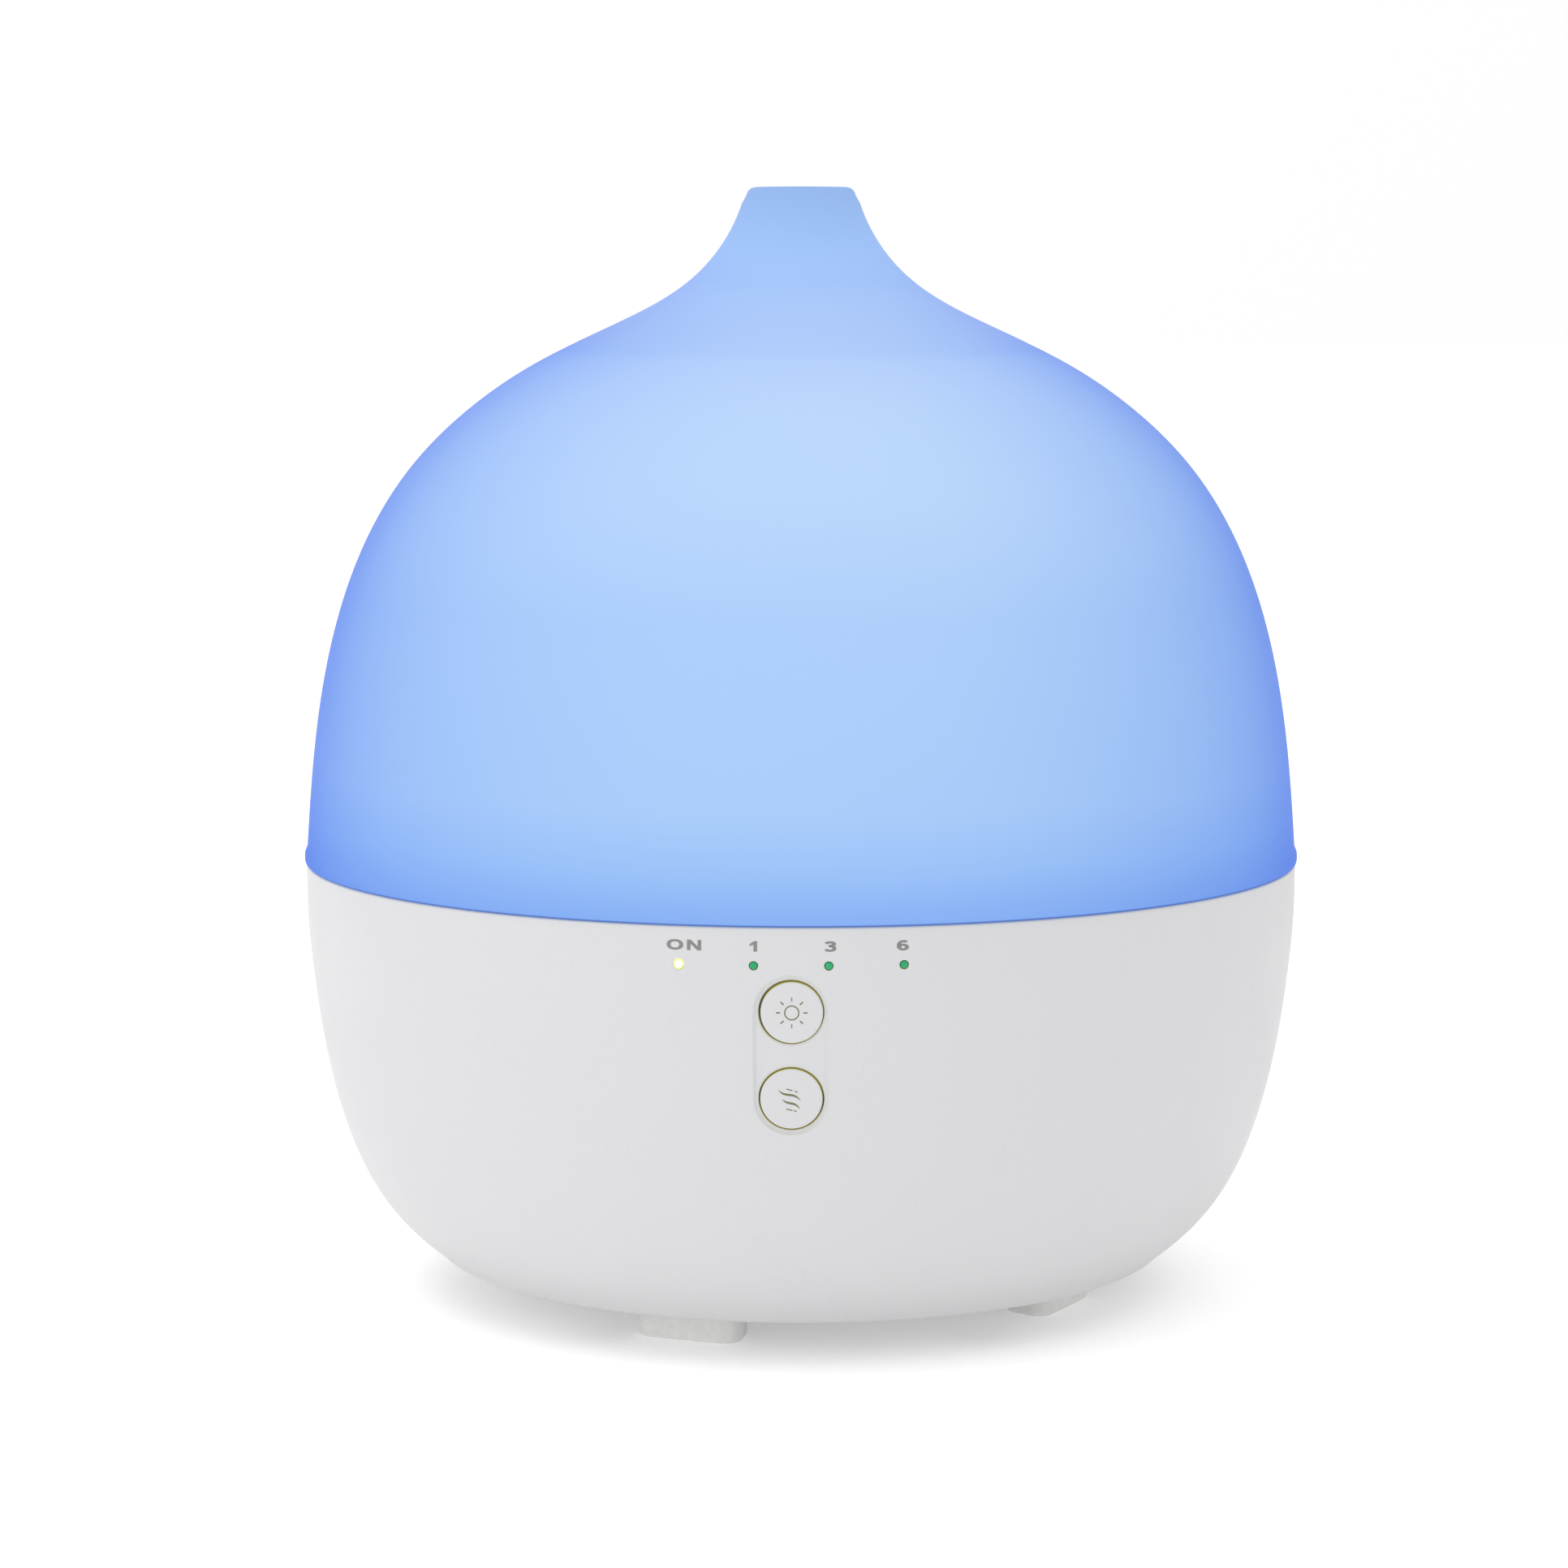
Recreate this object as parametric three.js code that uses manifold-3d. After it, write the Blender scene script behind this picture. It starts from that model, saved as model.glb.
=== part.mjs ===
// Cool mist humidifier: an onion-shaped glowing cover over a white base that holds the water tank,
// the ultrasonic transducer, a fan and the electronics.
// Millimetres, +Z up, the front (buttons) faces -Y. The origin is on the surface the feet stand on,
// on the axis of the body. An angle called "turn" is in degrees from the front towards +X.
import * as THREE from "three";
import { mergeVertices } from "three/addons/utils/BufferGeometryUtils.js";
import Module from "manifold-3d";

const wasm = await Module();
wasm.setup();

// ---------- driving dimensions ----------
const SEAM_Z = 73.5; // plane where the cover meets the base
const HEIGHT = 186.5;
const BODY_R = 84;
const FOOT_H = 6.2; // the body's underside is this high above the surface
const WALL = 2.2;
const GAP = 0.3; // clearance between pieces that touch
const ROUND = 48; // facets round the big shells

// Outline of the cover, [radius, height above the seam], from the rim up to the neck.
const COVER_OUTLINE = [
  [BODY_R, 0],
  [82.6, 17.8],
  [79.7, 35.7],
  [73.7, 53.5],
  [66.5, 65.4],
  [57.2, 75],
  [45.3, 83.3],
  [30.2, 90.7],
  [18, 98.1],
  [12.9, 104.1],
  [10.05, 110],
  [9.6, 111.4],
];
// Outline of the base, [radius, height above the seam], from the seam down to the underside.
const BASE_OUTLINE = [
  [BODY_R, -0.4],
  [83.8, -9.9],
  [82.8, -20.3],
  [81.4, -29.9],
  [78.8, -41.2],
  [74.5, -52.4],
  [69.1, -60.3],
  [61, -67.3],
];

// The cover's nozzle lip, its bore (height above the seam) and the skirt that drops inside the base.
const COVER = {
  lipR: 7.6,
  lipCorner: 1.6,
  boreR: 6,
  boreZ: 108.6,
  skirtR: 81.2,
  skirtWall: 1.8,
  skirtZ: 71.7,
};
const BASE = { openR: 60, floorZ: FOOT_H, lipH: 2.6 };

const TANK = {
  r: 66,
  wall: 2.2,
  floorZ: 36,
  cornerR: 10,
  rimZ: 78,
  flangeZ: 69.3,
  flangeH: 2,
  flangeR: 81.2,
  wellR: 13.4,
  wellTopR: 16.4,
  wellZ: 30.5,
  wellFloor: 1.9,
  eyeR: 8.3,
};
const TOWER = { y: 46, r: 8.2, boreR: 6.6, lowZ: 29.5, topZ: 72.5 };
const TANK_BOSS = { at: 74.5, r: 2.8, z: 52.5, depth: 8, turns: [60, 180, 300] };
const TAB = { z: 50, h: 2.2, w: 10, l: 14, innerR: 70.5 };

const GUIDE = {
  lipR: 65.6,
  lipWall: 1.6,
  lipZ: 74,
  flangeR: 70,
  seatZ: TANK.rimZ + GAP,
  wall: 1.6,
  topZ: 181.3,
};
// Outline of the mist guide above its flange, [radius, height], from the flange to the chimney's top.
const GUIDE_OUTLINE = [
  [64, 79.9],
  [57, 85],
  [40, 92.5],
  [22, 98],
  [11.5, 105],
  [9, 116],
  [8, 150],
  [7.3, GUIDE.topZ],
];

const PANEL = {
  buttonZ: [60.15, 46.4],
  holeR: 5.05,
  capR: 4.8,
  slotW: 11.4,
  slotH: 25.1,
  slotZ: 53.3,
  slotDepth: 0.4,
};
const BUTTON = { proud: 0.1, flangeR: 6.2, flangeH: 1.2, stemR: 1.8, stemEndY: -76.2 };
const LENS = {
  z: 67.4,
  xs: [-17.25, -5.75, 5.75, 17.25],
  r: 0.62,
  litR: 0.75,
  proud: 0.05,
  holeGap: 0.15,
  collarR: 1.4,
  collarIn: 1.2, // from the wall's inside to the collar, and from the board to the light pipe's end
};
const LENS_NAMES = ["indicator_lens_on", "indicator_lens_1h", "indicator_lens_3h", "indicator_lens_6h"];
const CONTROL = { y: -70.8, t: 1.6, halfW: 20, lowZ: 36, topZ: 68.9, chip: 0.8, sink: 0.5 };
const SOCKET = { x0: -13, x1: -7, z0: 38, z1: 42, h: 3 }; // the ribbon's socket on the control board
const SWITCH = { side: 6, depth: 3.5, plungerR: 1.7, plungerL: 1, plungerY: -75.9 };

const LED_RING = { innerR: 70.5, outerR: 79, z: 64.6, t: 1.4, openTurn: 24, at: 74.5 };
const LED = { w: 3.5, d: 2.8, h: 1.2, turns: [38, 90, 142, 218, 270, 322] };

const DISC = { r: 10, t: 1.4, z: 25.6 };
const SEAL = { innerR: 7.6, outerR: 12, lowZ: 24, topZ: 28.3 };
const CLAMP = {
  r: 14,
  holeR: 7,
  earAt: 16.5,
  earR: 3.2,
  z: 21.8,
  t: 1.9,
  turns: [0, 120, 240],
  bossR: 2.6,
  depth: 7.5,
};

const FAN = {
  y: 34,
  side: 40,
  h: 10,
  z: 11,
  boreR: 19,
  hubR: 8.5,
  screwAt: 16,
  corner: 3,
  backH: 1.2,
  strutW: 2,
};
const AXLE = { r: 1.5, topZ: 3.4 }; // the pin the rotor turns on
const ROTOR = { bladeR: 18.3, blades: 7, lowZ: 1.6, highZ: 9.6, rimW: 1.4, cupZ: 4 };
const BLADE = { l: 12, t: 1.2, w: 11, midR: 13.3, pitch: 48 };
const DUCT = { wall: 1.4, baseR: 18.6, topR: 10, z: FAN.z + FAN.h + GAP, coneZ: 22.5, neckZ: 28.5, topZ: 31 };

const BOTTOM = { r: 59.6, t: 2.2, rimR: 59.2, rimW: 1.8, rimH: 2.2 };
const BOTTOM_SCREW = { at: 54, turns: [35, 145, 215, 325], cupR: 4.6, cupZ: 11.4, boreR: 3.4, boreZ: 9.4 };
const POST = { r: 3.5, lowZ: 11.8, topZ: 30, boreZ: 22, gussetL: 24 };
// Air slots in the bottom cover, [middle radius, first turn, last turn].
const SLOTS = [
  [20, 156, 204],
  [25, 156, 204],
  [30, 156, 204],
  [35, 158, 202],
  [43, 174, 205],
  [48, 174, 203],
];
const SLOT_HALF = 1.2;
const FOOT = { turns: [-20.5, 63.5, 159.5, 243.5], innerR: 42.6, outerR: 51.5, half: 10.8, corner: 3 };
const PEG = { at: 47, turn: 6, r: 1.7, barbR: 2.5, barbH: 1, barbGap: 0.4, holeR: 2.1 };
const FOOT_NAMES = ["foot_front_left", "foot_front_right", "foot_rear_right", "foot_rear_left"];

const BOARD = { x: 25, y0: -42, y1: -18, z: 14, t: 1.6, screwX: 21.5, screwY: -30 };
const BOARD_POST_R = 2.6;
const CHIP = { x0: -4, x1: 2, y0: -36, y1: -31, h: 1.4 };
const SINK = {
  x0: -17,
  x1: -6,
  y0: -30,
  y1: -20,
  h: 11,
  baseH: 2.5,
  gapW: 1.4,
  gapXs: [-15, -12.6, -10.2, -7.8],
};
const COIL = { at: [4.5, -25.5], flangeR: 4.5, flangeH: 1.4, r: 3.4, h: 7.4 };
const CAN = { at: [[13, -23], [14, -36]], r: 3.1, grooveR: 2.85, grooveZ: 1.6, bead: 0.4, topR: 2.8, h: 11 };
const RIBBON = { w: 10, t: 0.9, steps: 18 };
const JACK = {
  z: 26,
  pocketR: 7.4,
  pocketY: 71,
  holeR: 4.3,
  barrelR: 3.95,
  boreR: 2.85,
  w: 9,
  h: 12,
  l: 11.2,
};
const JACK_PIN = { r: 1.05, tipIn: 1, depth: 9.5 };

// Screws: the head, the shank, the hole each passes through and the hole it bites into.
const SCREW = {
  clamp: { headR: 2.3, headH: 1.4, shankR: 1, shankL: 7, passR: 1.4, biteR: 1.3 },
  tank: { headR: 2.5, headH: 1.5, shankR: 1.2, shankL: 9, passR: 1.7, biteR: 1.6 },
  fan: { headR: 2.5, headH: 1.5, shankR: 1.1, shankL: 11, passR: 1.8, biteR: 1.4, postR: 2.8 },
  board: { headR: 2.5, headH: 1.4, shankR: 1.1, shankL: 5, passR: 1.7, biteR: 1.4 },
  case: { headR: 2.9, headH: 1.8, shankR: 1.25, shankL: 10, passR: 1.7, biteR: 1.6 },
};

// ---------- finishes ----------
const FINISH = {
  glow: { color: 0xadcffa, roughness: 0.55, emissive: 0x4a78c0 },
  milky: { color: 0xeef2f8, roughness: 0.5 },
  white: { color: 0xe3e3e6, roughness: 0.55 },
  tank: { color: 0xf0f1f3, roughness: 0.4 },
  rubber: { color: 0xdcdcd8, roughness: 0.8 },
  litLens: { color: 0xfaffc8, roughness: 0.3, emissive: 0xd8e860 },
  greenLens: { color: 0x1aa76c, roughness: 0.3 },
  board: { color: 0x1f6b45, roughness: 0.5 },
  black: { color: 0x1c1c1e, roughness: 0.6 },
  ledWhite: { color: 0xf4f2da, roughness: 0.4 },
  ceramic: { color: 0xe8e2cf, roughness: 0.4 },
  silicone: { color: 0xc9ccd0, roughness: 0.7 },
  aluminium: { color: 0xb9bcc0, roughness: 0.35, metalness: 0.9 },
  steel: { color: 0x9da0a4, roughness: 0.3, metalness: 0.95 },
  redLead: { color: 0xa02020, roughness: 0.5 },
  greyLead: { color: 0x8c8c90, roughness: 0.5 },
};

// ---------- solids: three.js geometry in, manifold-3d joins and cuts ----------
// A closed geometry as a solid. A profile may run either way round: an inside-out one is turned.
function solid(geometry) {
  const loose = geometry.index ? geometry.toNonIndexed() : geometry;
  const bare = new THREE.BufferGeometry();
  bare.setAttribute("position", loose.getAttribute("position"));
  const merged = mergeVertices(bare, 1e-4);
  const corners = merged.index.array;
  const triangles = [];
  for (let i = 0; i < corners.length; i += 3) {
    const [a, b, c] = corners.subarray(i, i + 3);
    if (a !== b && b !== c && c !== a) triangles.push(a, b, c);
  }
  const build = (list) =>
    new wasm.Manifold(
      new wasm.Mesh({
        numProp: 3,
        vertProperties: merged.attributes.position.array,
        triVerts: new Uint32Array(list),
      }),
    );
  const made = build(triangles);
  return made.volume() < 0 ? build(triangles.reverse()) : made;
}

function join(...solids) {
  return solids.reduce((whole, piece) => whole.add(piece));
}

function cut(body, ...tools) {
  return tools.reduce((left, tool) => left.subtract(tool), body);
}

function geometryOf(body) {
  const mesh = body.getMesh();
  const stride = mesh.numProp;
  const positions = new Float32Array(mesh.numVert * 3);
  for (let i = 0; i < mesh.numVert; i++) {
    positions.set(mesh.vertProperties.subarray(i * stride, i * stride + 3), i * 3);
  }
  const geometry = new THREE.BufferGeometry();
  geometry.setAttribute("position", new THREE.BufferAttribute(positions, 3));
  geometry.setIndex(new THREE.BufferAttribute(mesh.triVerts, 1));
  geometry.computeVertexNormals();
  return geometry;
}

// ---------- shapes ----------
const rad = THREE.MathUtils.degToRad;

// The point at a radius and a turn from the front towards +X.
function polar(radius, turn) {
  return [radius * Math.sin(rad(turn)), -radius * Math.cos(rad(turn))];
}

// A closed [radius, height] profile turned round the Z axis.
function revolve(profile, facets = ROUND) {
  const points = [...profile, profile[0]].map(([r, z]) => new THREE.Vector2(r, z));
  return solid(new THREE.LatheGeometry(points, facets).rotateX(Math.PI / 2));
}

function box(x0, x1, y0, y1, z0, z1) {
  const geometry = new THREE.BoxGeometry(x1 - x0, y1 - y0, z1 - z0);
  return solid(geometry.translate((x0 + x1) / 2, (y0 + y1) / 2, (z0 + z1) / 2));
}

function rod(radius, x, y, z0, z1, facets = 16) {
  const geometry = new THREE.CylinderGeometry(radius, radius, z1 - z0, facets).rotateX(Math.PI / 2);
  return solid(geometry.translate(x, y, (z0 + z1) / 2));
}

// A cylinder along Y.
function pin(radius, x, z, y0, y1, facets = 16) {
  const geometry = new THREE.CylinderGeometry(radius, radius, y1 - y0, facets);
  return solid(geometry.translate(x, (y0 + y1) / 2, z));
}

// A flat outline lying in the XY plane, made thick from z0 to z1.
function plate(shape, z0, z1, curveSegments = 6) {
  const options = { depth: z1 - z0, bevelEnabled: false, curveSegments };
  return solid(new THREE.ExtrudeGeometry(shape, options).translate(0, 0, z0));
}

// A flat outline standing in the XZ plane, made thick from y0 to y1.
function wallPlate(shape, y0, y1, curveSegments = 8) {
  const options = { depth: y1 - y0, bevelEnabled: false, curveSegments };
  return solid(new THREE.ExtrudeGeometry(shape, options).rotateX(Math.PI / 2).translate(0, y1, 0));
}

// Part of a flat ring between two radii, from one turn to another.
function sector(innerR, outerR, turn0, turn1) {
  const shape = new THREE.Shape();
  const start = rad(turn0 - 90);
  const end = rad(turn1 - 90);
  shape.absarc(0, 0, outerR, start, end, false);
  shape.absarc(0, 0, innerR, end, start, true);
  shape.closePath();
  return shape;
}

// A round wire through hand-set points.
function lead(points, radius, steps = 12) {
  const path = new THREE.CatmullRomCurve3(points.map((p) => new THREE.Vector3(...p)));
  const section = new THREE.Shape().absarc(0, 0, radius, 0, 2 * Math.PI);
  const options = { extrudePath: path, steps, curveSegments: 4, bevelEnabled: false };
  return solid(new THREE.ExtrudeGeometry(section, options));
}

// A skewed tube between rings, each ring being [radius, centre y, z].
function loft(rings, facets = 24) {
  const positions = [];
  const index = [];
  for (const [radius, y, z] of rings) {
    for (let i = 0; i < facets; i++) {
      const a = (2 * Math.PI * i) / facets;
      positions.push(radius * Math.cos(a), y + radius * Math.sin(a), z);
    }
  }
  for (let k = 0; k < rings.length - 1; k++) {
    for (let i = 0; i < facets; i++) {
      const a = k * facets + i;
      const b = k * facets + ((i + 1) % facets);
      index.push(a, b, b + facets, a, b + facets, a + facets);
    }
  }
  const last = (rings.length - 1) * facets;
  for (let i = 1; i < facets - 1; i++) {
    index.push(0, i + 1, i, last, last + i, last + i + 1);
  }
  const geometry = new THREE.BufferGeometry();
  geometry.setAttribute("position", new THREE.Float32BufferAttribute(positions, 3));
  geometry.setIndex(index);
  return solid(geometry);
}

// Points along an outline, closer together where it bends more, moved inwards by a wall thickness.
function outlinePoints(outline, count, inset = 0, from = 0, to = 1) {
  const curve = new THREE.SplineCurve(outline.map(([r, z]) => new THREE.Vector2(r, z)));
  const points = [];
  for (let i = 0; i <= count; i++) {
    const u = from + ((to - from) * i) / count;
    const at = curve.getPoint(u);
    const along = curve.getTangent(u);
    const side = along.y > 0 ? 1 : -1; // the axis is on the left of a rising outline
    points.push([at.x - side * along.y * inset, at.y + side * along.x * inset]);
  }
  return points;
}

const raised = (points, lift) => points.map(([r, z]) => [r, z + lift]);

// The base's full outside, solid to the axis, shrunk by an inset.
function baseBlock(inset) {
  const side = raised(outlinePoints(BASE_OUTLINE, 8, inset), SEAM_Z);
  const [, lowZ] = side[side.length - 1];
  const [, highZ] = side[0];
  return revolve([[0, highZ], ...side, [0, lowZ]]);
}

// ---------- the cover ----------
function topCover() {
  const outside = outlinePoints(COVER_OUTLINE, 14);
  const inside = outlinePoints(COVER_OUTLINE, 10, WALL, 0.02, 0.9).reverse();
  const top = HEIGHT - SEAM_Z;
  const cornerMid = COVER.lipR + COVER.lipCorner * Math.SQRT1_2;
  const profile = [
    ...outside,
    [cornerMid + 0.35, top - COVER.lipCorner * (1 - Math.SQRT1_2)],
    [COVER.lipR, top],
    [COVER.boreR, top],
    [COVER.boreR, COVER.boreZ],
    ...inside,
  ];
  const shell = raised(profile, SEAM_Z);
  const [innerR] = shell[shell.length - 1];
  const skirt = [
    [COVER.skirtR, COVER.skirtZ],
    [COVER.skirtR, SEAM_Z],
    [innerR + 1, SEAM_Z],
    [innerR + 1, SEAM_Z + 2],
    [COVER.skirtR - COVER.skirtWall, SEAM_Z + 1.2],
    [COVER.skirtR - COVER.skirtWall, COVER.skirtZ],
  ];
  return join(revolve(shell), revolve(skirt));
}

// ---------- the mist guide: inner lid with a chimney ----------
function mistGuide() {
  const outside = outlinePoints(GUIDE_OUTLINE, 8);
  const inside = outlinePoints(GUIDE_OUTLINE, 8, GUIDE.wall).reverse();
  inside[0][1] = GUIDE.topZ;
  const profile = [
    [GUIDE.flangeR, GUIDE.seatZ],
    [GUIDE.flangeR, GUIDE.seatZ + GUIDE.wall],
    ...outside,
    ...inside.slice(0, -1),
    [GUIDE.lipR - GUIDE.lipWall, GUIDE.seatZ],
    [GUIDE.lipR - GUIDE.lipWall, GUIDE.lipZ],
    [GUIDE.lipR, GUIDE.lipZ],
    [GUIDE.lipR, GUIDE.seatZ],
  ];
  return revolve(profile, 32);
}

// ---------- the base housing ----------
function stadium(width, height, centreZ) {
  const shape = new THREE.Shape();
  const r = width / 2;
  const reach = height / 2 - r;
  shape.absarc(0, centreZ + reach, r, 0, Math.PI, false);
  shape.absarc(0, centreZ - reach, r, Math.PI, 2 * Math.PI, false);
  shape.closePath();
  return shape;
}

function lensHoleR(x) {
  return (x === LENS.xs[0] ? LENS.litR : LENS.r) + LENS.holeGap;
}

function baseHousing() {
  const side = raised(outlinePoints(BASE_OUTLINE, 8), SEAM_Z);
  const inner = raised(outlinePoints(BASE_OUTLINE, 6, WALL, 0, 0.96), SEAM_Z).reverse();
  inner[inner.length - 1][1] = side[0][1];
  const shell = revolve([
    ...side,
    [BASE.openR, BASE.floorZ],
    [BASE.openR, BASE.floorZ + BASE.lipH],
    ...inner,
  ]);

  const room = baseBlock(WALL / 2);
  const fittings = BOTTOM_SCREW.turns.map((turn) => {
    const [x, y] = polar(BOTTOM_SCREW.at, turn);
    const gusset = new THREE.BoxGeometry(WALL, POST.gussetL, POST.topZ - POST.lowZ);
    gusset.translate(0, -BOTTOM_SCREW.at - POST.gussetL / 2, (POST.topZ + POST.lowZ) / 2).rotateZ(rad(turn));
    return join(rod(POST.r, x, y, POST.lowZ, POST.topZ), solid(gusset));
  });
  for (const turn of TANK_BOSS.turns) {
    const tab = new THREE.BoxGeometry(TAB.w, TAB.l, TAB.h);
    tab.translate(0, -TAB.innerR - TAB.l / 2, TAB.z + TAB.h / 2 - GAP).rotateZ(rad(turn));
    fittings.push(solid(tab));
  }
  fittings.push(pin(JACK.pocketR + WALL, 0, JACK.z, JACK.pocketY - WALL, BODY_R, 24));
  let body = shell;
  for (const fitting of fittings) body = body.add(fitting.intersect(room));

  for (const turn of BOTTOM_SCREW.turns) {
    const [x, y] = polar(BOTTOM_SCREW.at, turn);
    body = cut(body, rod(SCREW.case.biteR, x, y, POST.lowZ - 1, POST.boreZ, 12));
  }
  for (const turn of TANK_BOSS.turns) {
    const [x, y] = polar(TANK_BOSS.at, turn);
    body = cut(body, rod(SCREW.tank.passR, x, y, TAB.z - 2, TAB.z + TAB.h + 1, 12));
  }
  body = cut(
    body,
    pin(JACK.pocketR, 0, JACK.z, JACK.pocketY, BODY_R + 1, 24),
    pin(JACK.holeR, 0, JACK.z, JACK.pocketY - 2 * WALL, BODY_R, 16),
    wallPlate(stadium(PANEL.slotW, PANEL.slotH, PANEL.slotZ), -BODY_R - 1, -BODY_R / 2).subtract(
      baseBlock(PANEL.slotDepth),
    ),
  );
  for (const z of PANEL.buttonZ) {
    body = cut(body, pin(PANEL.holeR, 0, z, -BODY_R - 1, -BODY_R / 2, 20));
  }
  for (const x of LENS.xs) {
    body = cut(body, pin(lensHoleR(x), x, LENS.z, -BODY_R - 1, -BODY_R / 2, 8));
  }
  return body;
}

// ---------- the panel ----------
// Where a button's flange starts: just behind the wall at the flange's lowest edge.
function wallInsideY(z) {
  const points = raised(outlinePoints(BASE_OUTLINE, 60, WALL), SEAM_Z);
  const [r] = points.find(([, height]) => height <= z - BUTTON.flangeR);
  return -r + 2 * GAP;
}

// A cap whose face follows the body, a flange that keeps it in its hole, and a stem.
function button(z) {
  const flangeY = wallInsideY(z);
  const face = pin(PANEL.capR, 0, z, -BODY_R - 1, BUTTON.stemEndY, 20).intersect(baseBlock(BUTTON.proud));
  const back = box(-BODY_R, BODY_R, flangeY + BUTTON.flangeH, 0, 0, HEIGHT);
  return join(
    cut(face, back),
    pin(BUTTON.flangeR, 0, z, flangeY, flangeY + BUTTON.flangeH, 20),
    pin(BUTTON.stemR, 0, z, flangeY, BUTTON.stemEndY, 10),
  );
}

function lens(x) {
  const r = lensHoleR(x) - LENS.holeGap;
  const wallY = -Math.sqrt((BODY_R - WALL) ** 2 - x ** 2);
  const collarY = wallY + LENS.collarIn;
  const tip = pin(r, x, LENS.z, -BODY_R - 1, collarY + 1, 8).intersect(baseBlock(LENS.proud));
  return join(tip, pin(LENS.collarR, x, LENS.z, collarY, CONTROL.y - LENS.collarIn, 8));
}

function controlBoard() {
  const { y, t, halfW, lowZ, topZ, chip, sink } = CONTROL;
  const sheet = box(-halfW, halfW, y, y + t, lowZ, topZ);
  const chips = LENS.xs.map((x) => box(x - chip, x + chip, y - chip, y + sink, LENS.z - chip, LENS.z + chip));
  const socket = box(SOCKET.x0, SOCKET.x1, y - SOCKET.h, y + sink, SOCKET.z0, SOCKET.z1);
  return join(sheet, ...chips, socket);
}

function switchBody() {
  const half = SWITCH.side / 2;
  return box(-half, half, CONTROL.y - GAP - SWITCH.depth, CONTROL.y - GAP, -half, half);
}

// ---------- the tank ----------
function waterTank() {
  const bend = (radius, from, to) => {
    const points = [];
    const centreR = TANK.r - TANK.cornerR;
    const centreZ = TANK.floorZ + TANK.cornerR;
    for (let i = 0; i <= 3; i++) {
      const a = rad(from + ((to - from) * i) / 3);
      points.push([centreR + radius * Math.cos(a), centreZ + radius * Math.sin(a)]);
    }
    return points;
  };
  const outerR = TANK.r + TANK.wall;
  const profile = [
    [TANK.eyeR, TANK.wellZ - TANK.wellFloor],
    [TANK.wellR + 2, TANK.wellZ - TANK.wellFloor],
    [TANK.wellTopR + 1, TANK.floorZ - TANK.wall],
    ...bend(TANK.cornerR + TANK.wall, -90, 0),
    [outerR, TANK.flangeZ],
    [TANK.flangeR, TANK.flangeZ],
    [TANK.flangeR, TANK.flangeZ + TANK.flangeH],
    [outerR, TANK.flangeZ + TANK.flangeH],
    [outerR, TANK.rimZ],
    [TANK.r, TANK.rimZ],
    ...bend(TANK.cornerR, 0, -90),
    [TANK.wellTopR, TANK.floorZ],
    [TANK.wellR, TANK.wellZ],
    [TANK.eyeR, TANK.wellZ],
  ];
  let body = revolve(profile, 36);
  body = join(body, rod(TOWER.r, 0, TOWER.y, TOWER.lowZ, TOWER.topZ, 20));
  body = cut(body, rod(TOWER.boreR, 0, TOWER.y, TOWER.lowZ - 1, TOWER.topZ + 1, 20));
  for (const turn of TANK_BOSS.turns) {
    const [x, y] = polar(TANK_BOSS.at, turn);
    body = join(body, rod(TANK_BOSS.r, x, y, TANK_BOSS.z, TANK.flangeZ + 1, 10));
    body = cut(body, rod(SCREW.tank.biteR, x, y, TANK_BOSS.z - 1, TANK_BOSS.z + TANK_BOSS.depth, 8));
  }
  for (const turn of CLAMP.turns) {
    const [x, y] = polar(CLAMP.earAt, turn);
    body = join(body, rod(CLAMP.bossR, x, y, CLAMP.z + CLAMP.t + GAP, TANK.floorZ - 1, 8));
    body = cut(body, rod(SCREW.clamp.biteR, x, y, CLAMP.z, CLAMP.z + CLAMP.depth, 6));
  }
  return body;
}

// ---------- the transducer stack under the tank's well ----------
function transducerSeal() {
  const grooveR = DISC.r + GAP;
  return revolve(
    [
      [SEAL.innerR, SEAL.lowZ],
      [SEAL.outerR, SEAL.lowZ],
      [SEAL.outerR, SEAL.topZ],
      [SEAL.innerR, SEAL.topZ],
      [SEAL.innerR, DISC.z + DISC.t + GAP],
      [grooveR, DISC.z + DISC.t + GAP],
      [grooveR, DISC.z - GAP],
      [SEAL.innerR, DISC.z - GAP],
    ],
    24,
  );
}

function transducerClamp() {
  const z1 = CLAMP.z + CLAMP.t;
  let plateBody = rod(CLAMP.r, 0, 0, CLAMP.z, z1, 24);
  for (const turn of CLAMP.turns) {
    const [x, y] = polar(CLAMP.earAt, turn);
    plateBody = join(plateBody, rod(CLAMP.earR, x, y, CLAMP.z, z1, 12));
  }
  for (const turn of CLAMP.turns) {
    const [x, y] = polar(CLAMP.earAt, turn);
    plateBody = cut(plateBody, rod(SCREW.clamp.passR, x, y, CLAMP.z - 1, z1 + 1, 8));
  }
  return cut(plateBody, rod(CLAMP.holeR, 0, 0, CLAMP.z - 1, z1 + 1, 16));
}

// ---------- fasteners: a pan head under z = 0, the shank pointing up ----------
function screw({ headR, headH, shankR, shankL }) {
  const profile = [
    [0, -headH],
    [headR * 0.6, -headH],
    [headR, -headH * 0.4],
    [headR, 0],
    [shankR, 0],
    [shankR, shankL - shankR],
    [0, shankL],
  ];
  return revolve(profile, 8);
}

// ---------- fan ----------
const FAN_CORNERS = [-1, 1].flatMap((i) => [-1, 1].map((j) => [j * FAN.screwAt, i * FAN.screwAt]));

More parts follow.
